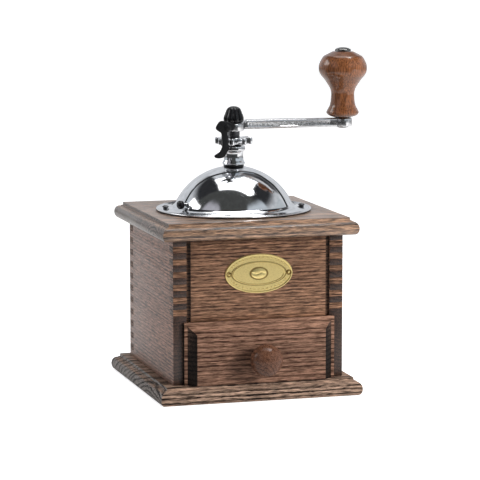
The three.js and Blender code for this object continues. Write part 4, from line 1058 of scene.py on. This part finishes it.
def world():
    """White to the camera, an even light on dull surfaces, and a studio of pale and dark zones in metal"""
    studio = bpy.data.worlds.new("studio")
    bpy.context.scene.world = studio
    s = Shader(studio)
    direction = s.place("Generated")
    front = s.vector("DOT_PRODUCT", direction, tuple(TO_CAMERA))
    right = s.vector("DOT_PRODUCT", direction, tuple(VIEW_RIGHT))
    up = s.vector("DOT_PRODUCT", direction, (0, 0, 1))
    aside = s.maths("ABSOLUTE", right)
    slope = s.maths("ADD", up, s.product(s.maths("MAXIMUM", right, 0.0), 0.45))
    edge = s.maths("SUBTRACT", front, s.product(right, 0.23))
    core = s.vector("SUBTRACT", direction, tuple(VIEW_RIGHT * 0.36 + TO_CAMERA * 0.06 + Vector((0, 0, 0.93))))

    # The pale wall behind the object, and over it each zone (where, colour) in turn
    lit = s.blend(s.cloud(direction, 6), (0.6, 0.62, 0.65), (0.74, 0.76, 0.79))
    zones = [
        # A dark strip above the wall, up to the light on the ceiling
        (s.product(s.ranged(slope, 0.6, 0.7), s.within(right, -0.15, 0.62)), (0.1, 0.1, 0.105)),
        # Dark corners on both sides of that light
        (s.product(s.ranged(up, 0.46, 0.68), s.ranged(aside, 0.28, 0.34)), (0.03, 0.031, 0.034)),
        # The dark room on the camera's side
        (s.ranged(edge, 0.08, 0.14), (0.07, 0.072, 0.07)),
        # Pale screens in front to the left and the right, and pale walls beside them
        (s.product(s.within(right, -0.84, -0.4), s.ranged(front, 0.2, 0.3), s.within(up, 0.08, 0.76, 0.08)),
         (0.46, 0.45, 0.49)),
        (s.product(s.ranged(right, 0.36, 0.44), s.ranged(front, 0.1, 0.18), s.within(up, 0.08, 0.74, 0.08)),
         (0.58, 0.63, 0.68)),
        (s.product(s.ranged(aside, 0.66, 0.74), s.ranged(up, 0.52, 0.42), s.within(front, -0.6, 0.12)),
         (0.54, 0.58, 0.61)),
        # A bright lamp low on the left
        (s.product(s.ranged(right, -0.74, -0.79), s.within(front, -0.34, 0.13, 0.03), s.within(up, 0.3, 0.58, 0.03)),
         (4.0, 4.0, 4.0)),
        # The light on the ceiling, and its bright core
        (s.product(s.within(right, -0.33, 0.42, 0.02), s.ranged(front, -0.5, -0.46), s.ranged(edge, 0.12, 0.08),
                   s.ranged(up, 0.5, 0.55)), (3.2, 3.2, 3.2)),
        (s.ranged(s.vector("LENGTH", core), 0.14, 0.08), (20.0, 20.0, 20.0)),
    ]
    for where, colour in zones:
        lit = s.blend(where, lit, colour)

    paths = s.node("ShaderNodeLightPath").outputs
    ambient = s.blend(s.ranged(front, 0.0, 0.4), (0.34, 0.34, 0.345), (0.1, 0.1, 0.102))
    seen = s.blend(s.maths("MAXIMUM", paths["Is Glossy Ray"], paths["Is Transmission Ray"]), ambient, lit)
    seen = s.blend(paths["Is Camera Ray"], seen, (1.0, 1.0, 1.0))
    background = s.node("ShaderNodeBackground", {"Color": seen, "Strength": 1.0})
    s.node("ShaderNodeOutputWorld", {"Surface": background.outputs[0]})


camera()
world()
floor()
lamp("key", 1.4, 0.85, 0.65, 0.35, 22)
lamp("top", 0.1, 0.2, 1.7, 0.7, 9)
lamp("side", -1.5, -0.1, 0.7, 1.0, 5)
case_boards()
drawer()
drawer_knob()
plate()
hood()
door()
neck()
shaft()
wheel()
crank()
nut()
lever()
handle()
spindle()
bowl()
hidden_works()

bpy.context.scene.view_settings.view_transform = "Standard"


def corners(box):
    return [list(corner) for corner in box]
